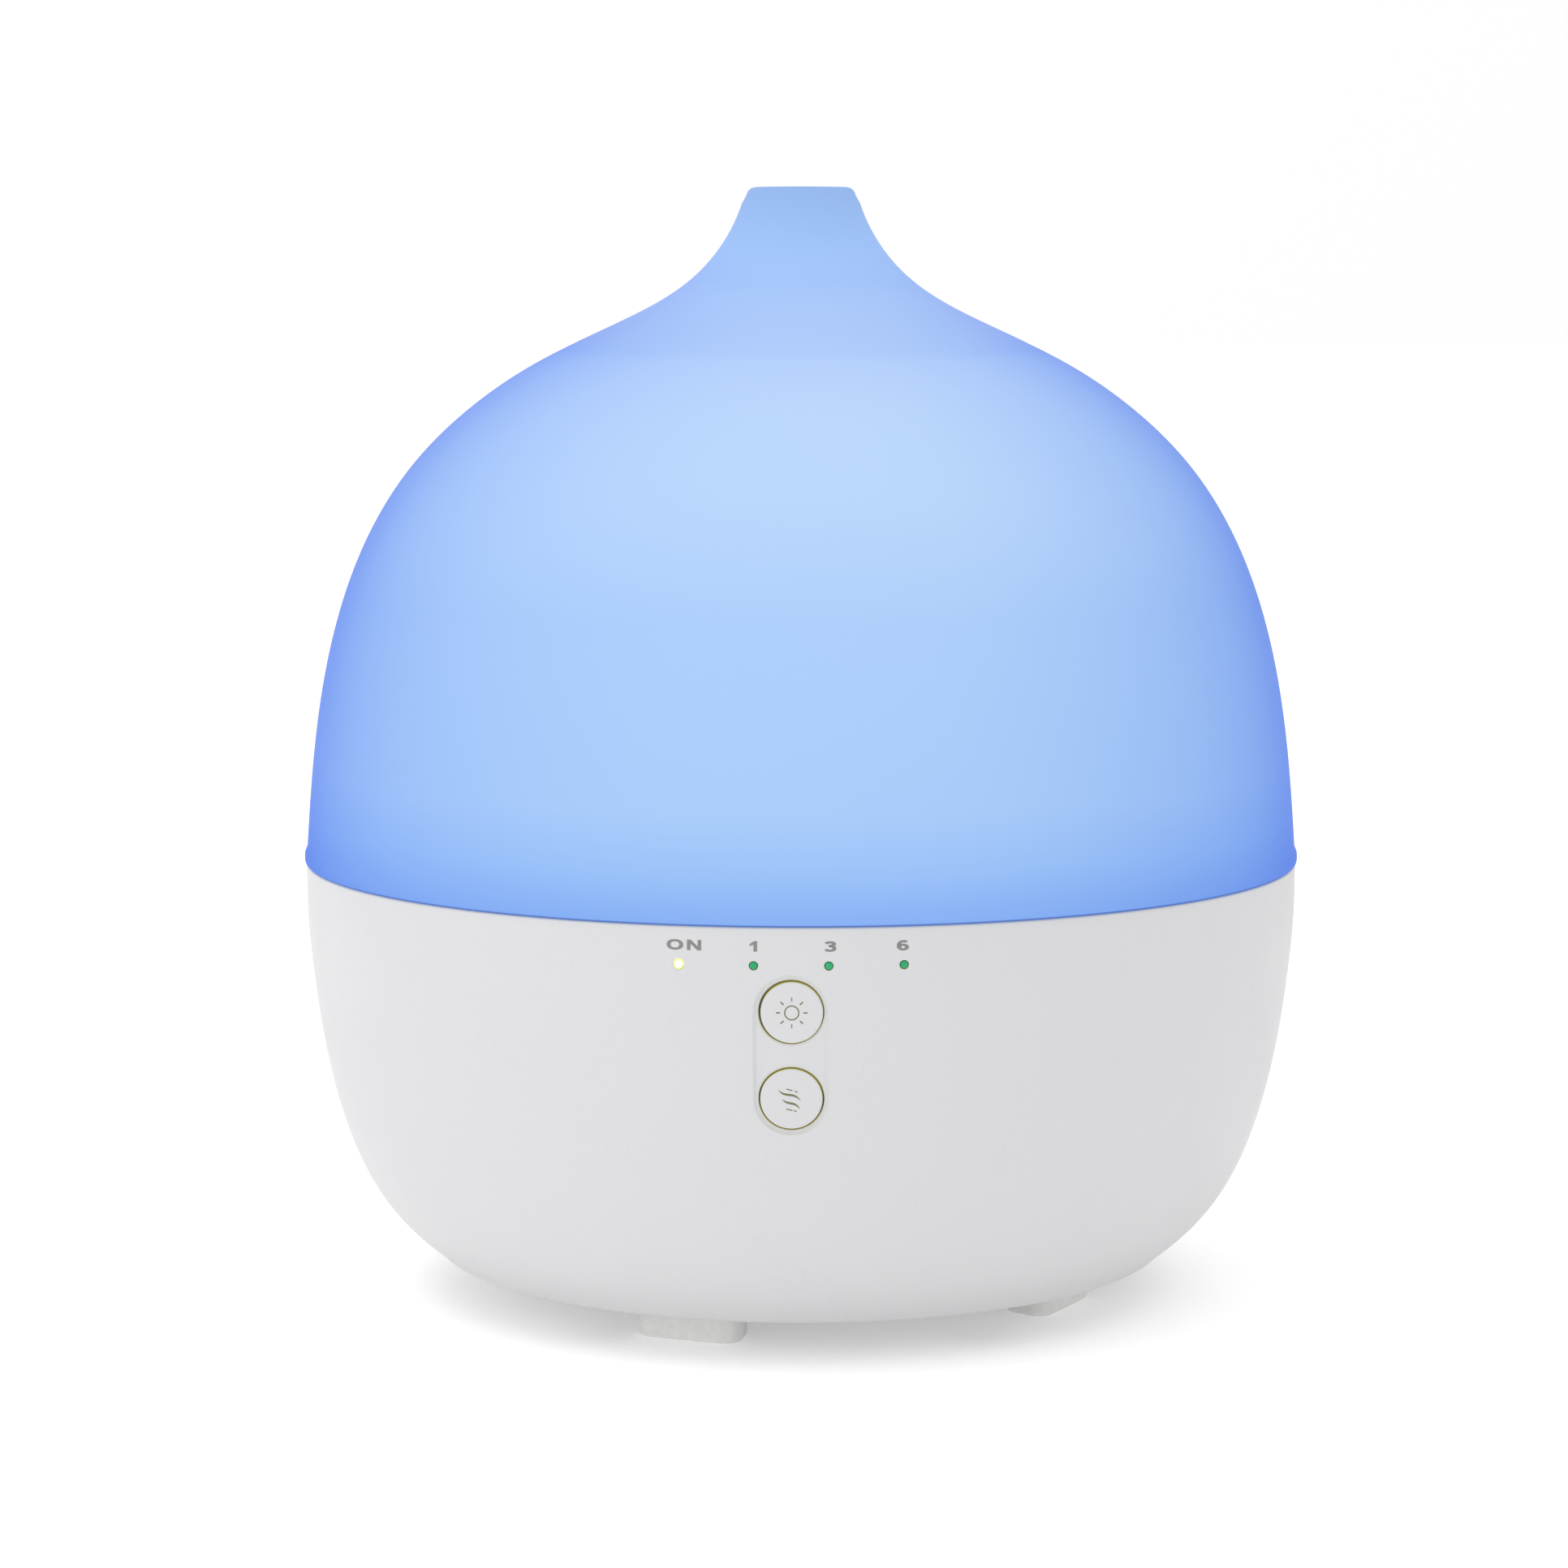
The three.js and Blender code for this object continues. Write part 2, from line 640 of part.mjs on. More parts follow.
function fanFrame() {
  const half = FAN.side / 2;
  const shape = new THREE.Shape();
  const inset = half - FAN.corner;
  shape.absarc(inset, inset, FAN.corner, 0, Math.PI / 2, false);
  shape.absarc(-inset, inset, FAN.corner, Math.PI / 2, Math.PI, false);
  shape.absarc(-inset, -inset, FAN.corner, Math.PI, 1.5 * Math.PI, false);
  shape.absarc(inset, -inset, FAN.corner, 1.5 * Math.PI, 2 * Math.PI, false);
  let body = cut(plate(shape, 0, FAN.h, 2), rod(FAN.boreR, 0, 0, -1, FAN.h + 1, 28));
  const reach = FAN.boreR + GAP;
  const halfW = FAN.strutW / 2;
  body = join(
    body,
    rod(FAN.hubR, 0, 0, 0, FAN.backH, 16),
    box(-reach, reach, -halfW, halfW, 0, FAN.backH),
    box(-halfW, halfW, -reach, reach, 0, FAN.backH),
    rod(AXLE.r, 0, 0, 0, AXLE.topZ, 8),
  );
  for (const [x, y] of FAN_CORNERS) {
    body = cut(body, rod(SCREW.fan.passR, x, y, -1, FAN.h + 1, 8));
  }
  return body;
}

function fanRotor() {
  const { lowZ, highZ } = ROTOR;
  let body = rod(FAN.hubR, 0, 0, lowZ, highZ, 20);
  const band = rod(ROTOR.bladeR, 0, 0, lowZ, highZ, 28);
  for (let i = 0; i < ROTOR.blades; i++) {
    const blade = new THREE.BoxGeometry(BLADE.l, BLADE.t, BLADE.w);
    blade.rotateX(rad(BLADE.pitch)).translate(BLADE.midR, 0, (lowZ + highZ) / 2);
    blade.rotateZ((2 * Math.PI * i) / ROTOR.blades);
    body = join(body, solid(blade).intersect(band));
  }
  return cut(body, rod(FAN.hubR - ROTOR.rimW, 0, 0, lowZ - 1, ROTOR.cupZ, 12));
}

function fanDuct() {
  const rings = (shrink, lowZ, highZ) => [
    [DUCT.baseR - shrink, FAN.y, lowZ],
    [DUCT.baseR - shrink, FAN.y, DUCT.coneZ],
    [DUCT.topR - shrink, TOWER.y, DUCT.neckZ],
    [DUCT.topR - shrink, TOWER.y, highZ],
  ];
  return cut(loft(rings(0, DUCT.z, DUCT.topZ)), loft(rings(DUCT.wall, DUCT.z - 1, DUCT.topZ + 1)));
}

// ---------- bottom cover and feet ----------
function bottomCover() {
  const z0 = FOOT_H;
  const z1 = FOOT_H + BOTTOM.t;
  const rimInnerR = BOTTOM.rimR - BOTTOM.rimW;
  const profile = [
    [0, z0],
    [BOTTOM.r, z0],
    [BOTTOM.r, z1],
    [BOTTOM.rimR, z1],
    [BOTTOM.rimR, z1 + BOTTOM.rimH],
    [rimInnerR, z1 + BOTTOM.rimH],
    [rimInnerR, z1],
    [0, z1],
  ];
  let body = revolve(profile, 40);
  for (const [x, y] of FAN_CORNERS) {
    body = join(body, rod(SCREW.fan.postR, x, FAN.y + y, z1 - 0.5, FAN.z - GAP, 10));
    body = cut(body, rod(SCREW.fan.biteR, x, FAN.y + y, z1 - 1, FAN.z, 8));
  }
  for (const x of [-BOARD.screwX, BOARD.screwX]) {
    body = join(body, rod(BOARD_POST_R, x, BOARD.screwY, z1 - 0.5, BOARD.z - GAP, 10));
    body = cut(body, rod(SCREW.board.biteR, x, BOARD.screwY, z1, BOARD.z, 8));
  }
  for (const turn of BOTTOM_SCREW.turns) {
    const [x, y] = polar(BOTTOM_SCREW.at, turn);
    body = join(body, rod(BOTTOM_SCREW.cupR, x, y, z0, BOTTOM_SCREW.cupZ, 14));
    body = cut(body, rod(BOTTOM_SCREW.boreR, x, y, z0 - 1, BOTTOM_SCREW.boreZ, 14));
    body = cut(body, rod(SCREW.case.passR, x, y, z0, BOTTOM_SCREW.cupZ + 1, 8));
  }
  for (const [r, turn0, turn1] of SLOTS) {
    const slot = sector(r - SLOT_HALF, r + SLOT_HALF, turn0, turn1);
    body = cut(body, plate(slot, z0 - 1, z1 + 0.5, 3));
  }
  for (const turn of FOOT.turns) {
    for (const side of [-PEG.turn, PEG.turn]) {
      const [x, y] = polar(PEG.at, turn + side);
      body = cut(body, rod(PEG.holeR, x, y, z0 - 1, z1 + 1, 8));
    }
  }
  return body;
}

// A soft foot centred on turn 0: an arc-shaped pad with rounded corners and two barbed pegs.
function foot() {
  const { innerR, outerR, half, corner } = FOOT;
  const at = (r, turn) => {
    const [x, y] = polar(r, turn);
    return new THREE.Vector2(x, y);
  };
  const trim = (r) => half - THREE.MathUtils.radToDeg(corner / r);
  const shape = new THREE.Shape();
  const front = rad(-90);
  const outer = trim(outerR);
  const inner = trim(innerR);
  const bend = (via, to) => shape.quadraticCurveTo(via.x, via.y, to.x, to.y);
  shape.absarc(0, 0, outerR, front - rad(outer), front + rad(outer), false);
  bend(at(outerR, half), at(outerR - corner, half));
  shape.lineTo(at(innerR + corner, half).x, at(innerR + corner, half).y);
  bend(at(innerR, half), at(innerR, inner));
  shape.absarc(0, 0, innerR, front + rad(inner), front - rad(inner), true);
  bend(at(innerR, -half), at(innerR + corner, -half));
  shape.lineTo(at(outerR - corner, -half).x, at(outerR - corner, -half).y);
  bend(at(outerR, -half), at(outerR, -outer));
  const pad = plate(shape, 0, FOOT_H - GAP, 2);
  const barbZ = FOOT_H + BOTTOM.t + PEG.barbGap;
  const tipZ = barbZ + PEG.barbH;
  const pegs = [-PEG.turn, PEG.turn].map((side) => {
    const [x, y] = polar(PEG.at, side);
    return join(rod(PEG.r, x, y, FOOT_H - 1, tipZ, 8), rod(PEG.barbR, x, y, barbZ, tipZ, 8));
  });
  return join(pad, ...pegs);
}

// ---------- electronics ----------
const partsZ = BOARD.z + BOARD.t + GAP; // where the parts on the main board start

function mainBoard() {
  const z1 = BOARD.z + BOARD.t;
  const sheet = box(-BOARD.x, BOARD.x, BOARD.y0, BOARD.y1, BOARD.z, z1);
  let body = join(sheet, box(CHIP.x0, CHIP.x1, CHIP.y0, CHIP.y1, z1 - 0.5, z1 + CHIP.h));
  for (const x of [-BOARD.screwX, BOARD.screwX]) {
    body = cut(body, rod(SCREW.board.passR, x, BOARD.screwY, BOARD.z - 1, z1 + 1, 8));
  }
  return body;
}

function heatSink() {
  const topZ = partsZ + SINK.h;
  const half = SINK.gapW / 2;
  let body = box(SINK.x0, SINK.x1, SINK.y0, SINK.y1, partsZ, topZ);
  for (const x of SINK.gapXs) {
    body = cut(body, box(x - half, x + half, SINK.y0 - 1, SINK.y1 + 1, partsZ + SINK.baseH, topZ + 1));
  }
  return body;
}

// A drum core: a waist between two flanges.
function inductor() {
  const top = partsZ + COIL.h;
  const profile = [
    [0, partsZ],
    [COIL.flangeR, partsZ],
    [COIL.flangeR, partsZ + COIL.flangeH],
    [COIL.r, partsZ + COIL.flangeH],
    [COIL.r, top - COIL.flangeH],
    [COIL.flangeR, top - COIL.flangeH],
    [COIL.flangeR, top],
    [0, top],
  ];
  return revolve(profile, 14);
}

// A can with a rolled groove near its foot.
function capacitor() {
  const groove = partsZ + CAN.grooveZ;
  const profile = [
    [0, partsZ],
    [CAN.r, partsZ],
    [CAN.r, groove - CAN.bead],
    [CAN.grooveR, groove],
    [CAN.r, groove + CAN.bead],
    [CAN.r, partsZ + CAN.h - CAN.bead],
    [CAN.topR, partsZ + CAN.h],
    [0, partsZ + CAN.h],
  ];
  return revolve(profile, 14);
}

function ledBoard() {
  const ring = sector(LED_RING.innerR, LED_RING.outerR, LED_RING.openTurn, 360 - LED_RING.openTurn);
  let body = plate(ring, LED_RING.z, LED_RING.z + LED_RING.t, 20);
  for (const turn of TANK_BOSS.turns) {
    const [x, y] = polar(TANK_BOSS.at, turn);
    body = cut(body, rod(TANK_BOSS.r + GAP, x, y, LED_RING.z - 1, LED_RING.z + LED_RING.t + 1, 10));
  }
  return body;
}

function dcJack() {
  const frontY = JACK.pocketY - WALL - GAP;
  const { z, pocketY, w, h } = JACK;
  const body = box(-w / 2, w / 2, frontY - JACK.l, frontY, z - h / 2, z + h / 2);
  const barrel = join(body, pin(JACK.barrelR, 0, z, frontY - 1, pocketY, 12));
  const bored = cut(barrel, pin(JACK.boreR, 0, z, pocketY - JACK_PIN.depth, pocketY + 1, 12));
  return join(bored, pin(JACK_PIN.r, 0, z, pocketY - JACK_PIN.depth - 0.5, pocketY - JACK_PIN.tipIn, 6));
}

// A flat cable from the main board up to the lower edge of the control board.
function controlRibbon() {
  const route = new THREE.SplineCurve([
    new THREE.Vector2(-39, partsZ),
    new THREE.Vector2(-41.5, 22),
    new THREE.Vector2(-52, 26),
    new THREE.Vector2(-65, 28),
    new THREE.Vector2(CONTROL.y + CONTROL.t / 2, CONTROL.lowZ - GAP),
  ]);
  const half = RIBBON.t / 2;
  const left = [];
  const right = [];
  for (let i = 0; i <= RIBBON.steps; i++) {
    const at = route.getPointAt(i / RIBBON.steps);
    const along = route.getTangentAt(i / RIBBON.steps);
    left.push(new THREE.Vector2(at.x - along.y * half, at.y + along.x * half));
    right.push(new THREE.Vector2(at.x + along.y * half, at.y - along.x * half));
  }
  const shape = new THREE.Shape([...left, ...right.reverse()]);
  const geometry = new THREE.ExtrudeGeometry(shape, { depth: RIBBON.w, bevelEnabled: false });
  // the outline's x and y become the object's y and z, and its depth runs along x
  const turned = new THREE.Matrix4().set(0, 0, 1, -RIBBON.w / 2, 1, 0, 0, 0, 0, 1, 0, 0, 0, 0, 0, 1);
  return solid(geometry.applyMatrix4(turned));
}

// ---------- the assembly ----------
const humidifier = new THREE.Group();

// Adds one named mesh to a group, placed and turned inside it.
function addPart(group, name, body, finish, place = {}) {
  const { at = [0, 0, 0], turn = 0, flip = false } = place;
  const mesh = new THREE.Mesh(geometryOf(body), new THREE.MeshStandardMaterial(FINISH[finish]));
  mesh.name = name;
  mesh.position.set(...at);
  mesh.rotation.set(flip ? Math.PI : 0, 0, rad(turn));
  group.add(mesh);
}

const shells = new THREE.Group();
humidifier.add(shells);
addPart(shells, "top_cover", topCover(), "glow");
addPart(shells, "mist_guide", mistGuide(), "milky");
addPart(shells, "base_housing", baseHousing(), "white");
addPart(shells, "water_tank", waterTank(), "tank");
addPart(shells, "bottom_cover", bottomCover(), "white");

const pad = foot();
FOOT.turns.forEach((turn, i) => addPart(shells, FOOT_NAMES[i], pad, "rubber", { turn }));

const panel = new THREE.Group();
humidifier.add(panel);
const plungerAlongY = pin(SWITCH.plungerR, 0, 0, SWITCH.plungerY, SWITCH.plungerY + SWITCH.plungerL, 14);
["light", "mist"].forEach((name, i) => {
  const z = PANEL.buttonZ[i];
  addPart(panel, `${name}_button`, button(z), "white");
  addPart(panel, `${name}_switch_body`, switchBody(), "black", { at: [0, 0, z] });
  addPart(panel, `${name}_switch_plunger`, plungerAlongY, "black", { at: [0, 0, z] });
});
LENS.xs.forEach((x, i) => addPart(panel, LENS_NAMES[i], lens(x), i === 0 ? "litLens" : "greenLens"));
addPart(panel, "control_board", controlBoard(), "board");

const transducer = new THREE.Group();
humidifier.add(transducer);
addPart(transducer, "transducer_disc", rod(DISC.r, 0, 0, DISC.z, DISC.z + DISC.t, 24), "ceramic");
addPart(transducer, "transducer_seal", transducerSeal(), "silicone");
addPart(transducer, "transducer_clamp", transducerClamp(), "aluminium");
const clampScrew = screw(SCREW.clamp);
CLAMP.turns.forEach((turn, i) => {
  const [x, y] = polar(CLAMP.earAt, turn);
  addPart(transducer, `transducer_screw_${i + 1}`, clampScrew, "steel", { at: [x, y, CLAMP.z - GAP] });
});

const fan = new THREE.Group();
fan.position.set(0, FAN.y, FAN.z);
humidifier.add(fan);
addPart(fan, "fan_frame", fanFrame(), "black");
addPart(fan, "fan_rotor", fanRotor(), "black");
const fanScrew = screw(SCREW.fan);
[-1, 1].forEach((side, i) => {
  const at = [side * FAN.screwAt, side * FAN.screwAt, FAN.h + GAP];
  addPart(fan, `fan_screw_${i + 1}`, fanScrew, "steel", { at, flip: true });
});
addPart(humidifier, "fan_duct", fanDuct(), "milky");

const electronics = new THREE.Group();
humidifier.add(electronics);
addPart(electronics, "main_board", mainBoard(), "board");
addPart(electronics, "heat_sink", heatSink(), "aluminium");
addPart(electronics, "inductor", inductor(), "black", { at: [...COIL.at, 0] });
const can = capacitor();
CAN.at.forEach(([x, y], i) => addPart(electronics, `capacitor_${i + 1}`, can, "black", { at: [x, y, 0] }));
const boardScrew = screw(SCREW.board);
[-1, 1].forEach((side, i) => {
  const at = [side * BOARD.screwX, BOARD.screwY, partsZ];
  addPart(electronics, `board_screw_${i + 1}`, boardScrew, "steel", { at, flip: true });
});
addPart(electronics, "led_board", ledBoard(), "board");
const ledZ = LED_RING.z + LED_RING.t + GAP;
const diode = box(-LED.w / 2, LED.w / 2, -LED.d / 2, LED.d / 2, 0, LED.h);
LED.turns.forEach((turn, i) => {
  const [x, y] = polar(LED_RING.at, turn);
  addPart(electronics, `light_led_${i + 1}`, diode, "ledWhite", { at: [x, y, ledZ], turn });
});
addPart(electronics, "dc_jack", dcJack(), "black");

const caseScrew = screw(SCREW.case);
BOTTOM_SCREW.turns.forEach((turn, i) => {
  const [x, y] = polar(BOTTOM_SCREW.at, turn);
  addPart(humidifier, `bottom_screw_${i + 1}`, caseScrew, "steel", { at: [x, y, BOTTOM_SCREW.boreZ - GAP] });
});
const tankScrew = screw(SCREW.tank);
TANK_BOSS.turns.forEach((turn, i) => {
  const [x, y] = polar(TANK_BOSS.at, turn);
  addPart(humidifier, `tank_screw_${i + 1}`, tankScrew, "steel", { at: [x, y, TAB.z - 2 * GAP] });
});

// ---------- leads, as points along each one ----------
const boardTop = partsZ + 0.8;
const transducerRoute = [
  [3, -19, boardTop],
  [3, -12, 17.6],
  [2, -5, 19],
  [1, -2, 22],
  [0.5, -1, DISC.z - GAP],
];
const fanRoute = [
  [14, -18.5, boardTop],
  [15, -8, 14],
  [12, 4, 13],
  [9, FAN.y - FAN.side / 2 - GAP, 15],
];
const dcRoute = [
  [22.5, -18.5, boardTop + 0.4],
  [26.5, 0, 14],
  [24.5, 25, 13],
  [23.8, 44, 14],
  [22, 57, 19],
  [14, 62, 24],
  [JACK.w / 2 + GAP, 62, 26],
];
const ledRoute = [
  [-24, -19, boardTop],
  [-38, -19, 18],
  [-60, -14, 26],
  [-72, -10, 42],
  [-74, -8, 54],
  [-74.5, -7, LED_RING.z - GAP],
];
addPart(electronics, "transducer_lead", lead(transducerRoute, 0.8), "redLead");
addPart(electronics, "fan_lead", lead(fanRoute, 0.8), "redLead");
addPart(electronics, "dc_lead", lead(dcRoute, 1.1, 22), "greyLead");
addPart(electronics, "led_lead", lead(ledRoute, 0.9, 18), "greyLead");
addPart(electronics, "control_ribbon", controlRibbon(), "greyLead");

export default humidifier;
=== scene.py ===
"""Cool mist humidifier: the looks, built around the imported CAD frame.

Shapes are written in millimetres in the frame's axes (+Z up, the front faces -Y, a "turn" is an angle
in degrees from the front towards +X) and become metres when a mesh is made.
"""

import math

import bmesh
import bpy
import numpy as np
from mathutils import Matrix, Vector


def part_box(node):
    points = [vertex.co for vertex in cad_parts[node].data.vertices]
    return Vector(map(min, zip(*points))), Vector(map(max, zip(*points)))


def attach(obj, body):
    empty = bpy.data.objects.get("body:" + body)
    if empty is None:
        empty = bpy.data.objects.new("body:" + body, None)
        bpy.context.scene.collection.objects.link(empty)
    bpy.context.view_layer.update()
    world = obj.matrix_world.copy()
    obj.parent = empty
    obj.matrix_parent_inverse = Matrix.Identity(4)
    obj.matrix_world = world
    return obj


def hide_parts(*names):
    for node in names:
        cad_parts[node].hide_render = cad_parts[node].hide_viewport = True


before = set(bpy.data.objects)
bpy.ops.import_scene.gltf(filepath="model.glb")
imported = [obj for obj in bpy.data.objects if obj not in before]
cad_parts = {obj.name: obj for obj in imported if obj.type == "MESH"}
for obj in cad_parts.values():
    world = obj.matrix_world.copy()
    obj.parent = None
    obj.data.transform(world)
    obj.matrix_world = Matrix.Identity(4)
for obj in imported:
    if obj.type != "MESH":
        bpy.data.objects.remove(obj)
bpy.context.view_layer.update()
MM = 0.001


def box_mm(node):
    """Low and high corners of a CAD node, in millimetres."""
    low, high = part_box(node)
    return np.array(low) / MM, np.array(high) / MM


# ---------- sizes, from the frame ----------
HOUSING_LOW, HOUSING_HIGH = box_mm("base_housing")
COVER_TOP = box_mm("top_cover")[1]
GUIDE_LOW, GUIDE_HIGH = box_mm("mist_guide")
TANK_LOW, TANK_HIGH = box_mm("water_tank")
BODY_R = HOUSING_HIGH[0]
FLOOR_Z = HOUSING_LOW[2]
SEAM_GAP = 0.4
RIM_GAP = 0.2
SEAM_Z = HOUSING_HIGH[2] + SEAM_GAP
TOP_Z = COVER_TOP[2]
WALL = 2.2

# Outlines as [radius, height above the seam].
COVER_OUTLINE = [
    (BODY_R, 0), (82.6, 17.8), (79.7, 35.7), (73.7, 53.5), (66.5, 65.4), (57.2, 75), (45.3, 83.3),
    (30.2, 90.7), (18, 98.1), (12.9, 104.1), (10.05, 110), (9.6, 111.4),
]
BASE_OUTLINE = [
    (BODY_R, -SEAM_GAP), (83.8, -9.9), (82.8, -20.3), (81.4, -29.9), (78.8, -41.2), (74.5, -52.4),
    (69.1, -60.3), (61, -67.3),
]
BUTTON_Z = {name: (box_mm(name)[0][2] + box_mm(name)[1][2]) / 2 for name in ("light_button", "mist_button")}
SLOT_HALF_W = 5.7
SLOT_REACH = 6.85
SLOT_DEPTH = 0.4
HOLE_R = 5.05
CAP_R = 4.8
FLANGE_R = 6.2
LENS_NODES = ["indicator_lens_on", "indicator_lens_1h", "indicator_lens_3h", "indicator_lens_6h"]
LENS_X = {n: (box_mm(n)[0][0] + box_mm(n)[1][0]) / 2 for n in LENS_NODES}
LENS_Z = (box_mm(LENS_NODES[1])[0][2] + box_mm(LENS_NODES[1])[1][2]) / 2
LENS_R = {n: 0.62 for n in LENS_NODES} | {"indicator_lens_on": 0.75}
JACK_Z = 26
JACK_POCKET_R = 7.4
JACK_POCKET_Y = 71


# ---------- curves ----------
def spline(points, count):
    """Evenly parametrised points on the natural cubic spline through the given points."""
    p = np.array(points, float)
    t = np.concatenate([[0], np.cumsum(np.linalg.norm(np.diff(p, axis=0), axis=1))])
    h = np.diff(t)
    n = len(p)
    a = np.eye(n)
    b = np.zeros((n, 2))
    for i in range(1, n - 1):
        a[i, i - 1:i + 2] = h[i - 1], 2 * (h[i - 1] + h[i]), h[i]
        b[i] = 6 * ((p[i + 1] - p[i]) / h[i] - (p[i] - p[i - 1]) / h[i - 1])
    m = np.linalg.solve(a, b)
    s = np.linspace(0, t[-1], count)
    k = np.clip(np.searchsorted(t, s) - 1, 0, n - 2)
    left, right, width = (s - t[k])[:, None], (t[k + 1] - s)[:, None], h[k][:, None]
    return (
        (m[k] * right ** 3 + m[k + 1] * left ** 3) / (6 * width)
        + (p[k] / width - m[k] * width / 6) * right
        + (p[k + 1] / width - m[k + 1] * width / 6) * left
    )


def inset(points, distance):
    """The same open outline moved towards the axis by a wall thickness."""
    along = np.gradient(points, axis=0)
    along /= np.linalg.norm(along, axis=1)[:, None]
    side = np.where(along[:, 1:] > 0, 1, -1)
    return points + distance * side * np.stack([-along[:, 1], along[:, 0]], axis=1)


def fillet(centre, radius, start, end, steps=6):
    """Points on an arc in the [radius, height] plane, angles in degrees."""
    a = np.radians(np.linspace(start, end, steps))
    return np.stack([centre[0] + radius * np.cos(a), centre[1] + radius * np.sin(a)], axis=1)


def raised(points, lift=SEAM_Z):
    """The same outline, moved up."""
    return np.array(points, float) + [0, lift]


BASE_LINE = raised(spline(BASE_OUTLINE, 2000))


def body_radius(z):
    """Radius of the base's outside at a height."""
    return np.interp(z, BASE_LINE[::-1, 1], BASE_LINE[::-1, 0])


def front_y(x, z):
    """The base's outside, seen from the front, as y over x and z."""
    return -np.sqrt(body_radius(z) ** 2 - np.square(x))


# ---------- meshes ----------
def piece(name, vertices, faces, materials, body, smooth=30):
    """A mesh piece made from millimetre vertices, with its materials, riding on a body."""
    mesh = bpy.data.meshes.new(name)
    mesh.from_pydata((np.array(vertices, float) * MM).tolist(), [], [list(map(int, f)) for f in faces])
    made = bpy.data.objects.new(name, mesh)
    bpy.context.scene.collection.objects.link(made)
    for entry in materials:
        mesh.materials.append(entry)
    tidy_mesh(made, smooth)
    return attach(made, body)


def tidy_mesh(made, smooth):
    """Joins equal points, turns the normals outwards and keeps edges sharp above an angle."""
    bm = bmesh.new()
    bm.from_mesh(made.data)
    bmesh.ops.remove_doubles(bm, verts=bm.verts, dist=1e-7)
    bmesh.ops.dissolve_degenerate(bm, edges=bm.edges, dist=1e-8)
    bmesh.ops.recalc_face_normals(bm, faces=bm.faces)
    bm.to_mesh(made.data)
    bm.free()
    made.data.shade_smooth()
    made.data.set_sharp_from_angle(angle=math.radians(smooth))


def turned(profile, turns):
    """Vertices and faces of a closed [radius, height] profile turned round Z through the given turns."""
    turns = np.radians(np.asarray(turns, float))
    profile = np.asarray(profile, float)
    rows, columns = len(profile), len(turns)
    vertices = np.zeros((rows, columns, 3))
    vertices[..., 0] = profile[:, :1] * np.sin(turns)
    vertices[..., 1] = -profile[:, :1] * np.cos(turns)
    vertices[..., 2] = profile[:, 1:]
    r, c = np.meshgrid(np.arange(rows), np.arange(columns), indexing="ij")
    r2, c2 = (r + 1) % rows, (c + 1) % columns
    index = lambda i, j: (i * columns + j).ravel()
    faces = np.stack([index(r, c), index(r, c2), index(r2, c2), index(r2, c)], axis=1)
    return vertices.reshape(-1, 3), faces


def even_turns(count):
    return np.arange(count) * 360 / count


def graded(*spans):
    """Values that run through spans of (start, end, step), without the last end."""
    parts = [np.linspace(a, b, max(2, round(abs(b - a) / step)), endpoint=False) for a, b, step in spans]
    return np.concatenate(parts)


def along_y(profile, x, z, facets):
    """A closed [radius, y] profile turned round a line along Y through x, z."""
    vertices, faces = turned(profile, even_turns(facets))
    return np.stack([vertices[:, 0] + x, vertices[:, 2], vertices[:, 1] + z], axis=1), faces


def bar_along_y(radius, start, end, x, z, facets):
    """Vertices and faces of a plain cylinder along Y, between two places on Y."""
    return along_y([(0, start), (radius, start), (radius, end), (0, end)], x, z, facets)


def joined(*parts):
    """Several bodies as one set of vertices and faces."""
    vertices, faces, offset = [], [], 0
    for v, f in parts:
        vertices.append(np.asarray(v, float))
        faces.extend([[i + offset for i in face] for face in f])
        offset += len(v)
    return np.concatenate(vertices), faces


def combine(target, cutter, operation):
    """Applies a boolean to a piece and removes the cutter. Faces that the cutter makes keep its material."""
    modifier = target.modifiers.new("cut", "BOOLEAN")
    modifier.operation = operation
    modifier.solver = "EXACT"
    modifier.material_mode = "TRANSFER"
    modifier.object = cutter
    depsgraph = bpy.context.evaluated_depsgraph_get()
    result = bpy.data.meshes.new_from_object(target.evaluated_get(depsgraph))
    target.modifiers.clear()
    target.data = result
    bpy.data.objects.remove(cutter)


def cutter(name, vertices, faces, surface):
    """A throw-away solid for a boolean."""
    mesh = bpy.data.meshes.new(name)
    mesh.from_pydata((np.array(vertices, float) * MM).tolist(), [], [list(map(int, f)) for f in faces])
    mesh.materials.append(surface)
    made = bpy.data.objects.new(name, mesh)
    bpy.context.scene.collection.objects.link(made)
    tidy_mesh(made, 30)
    return made


# ---------- material helpers ----------
MAP_RANGE_SOCKETS = ("From Min", "From Max", "To Min", "To Max")


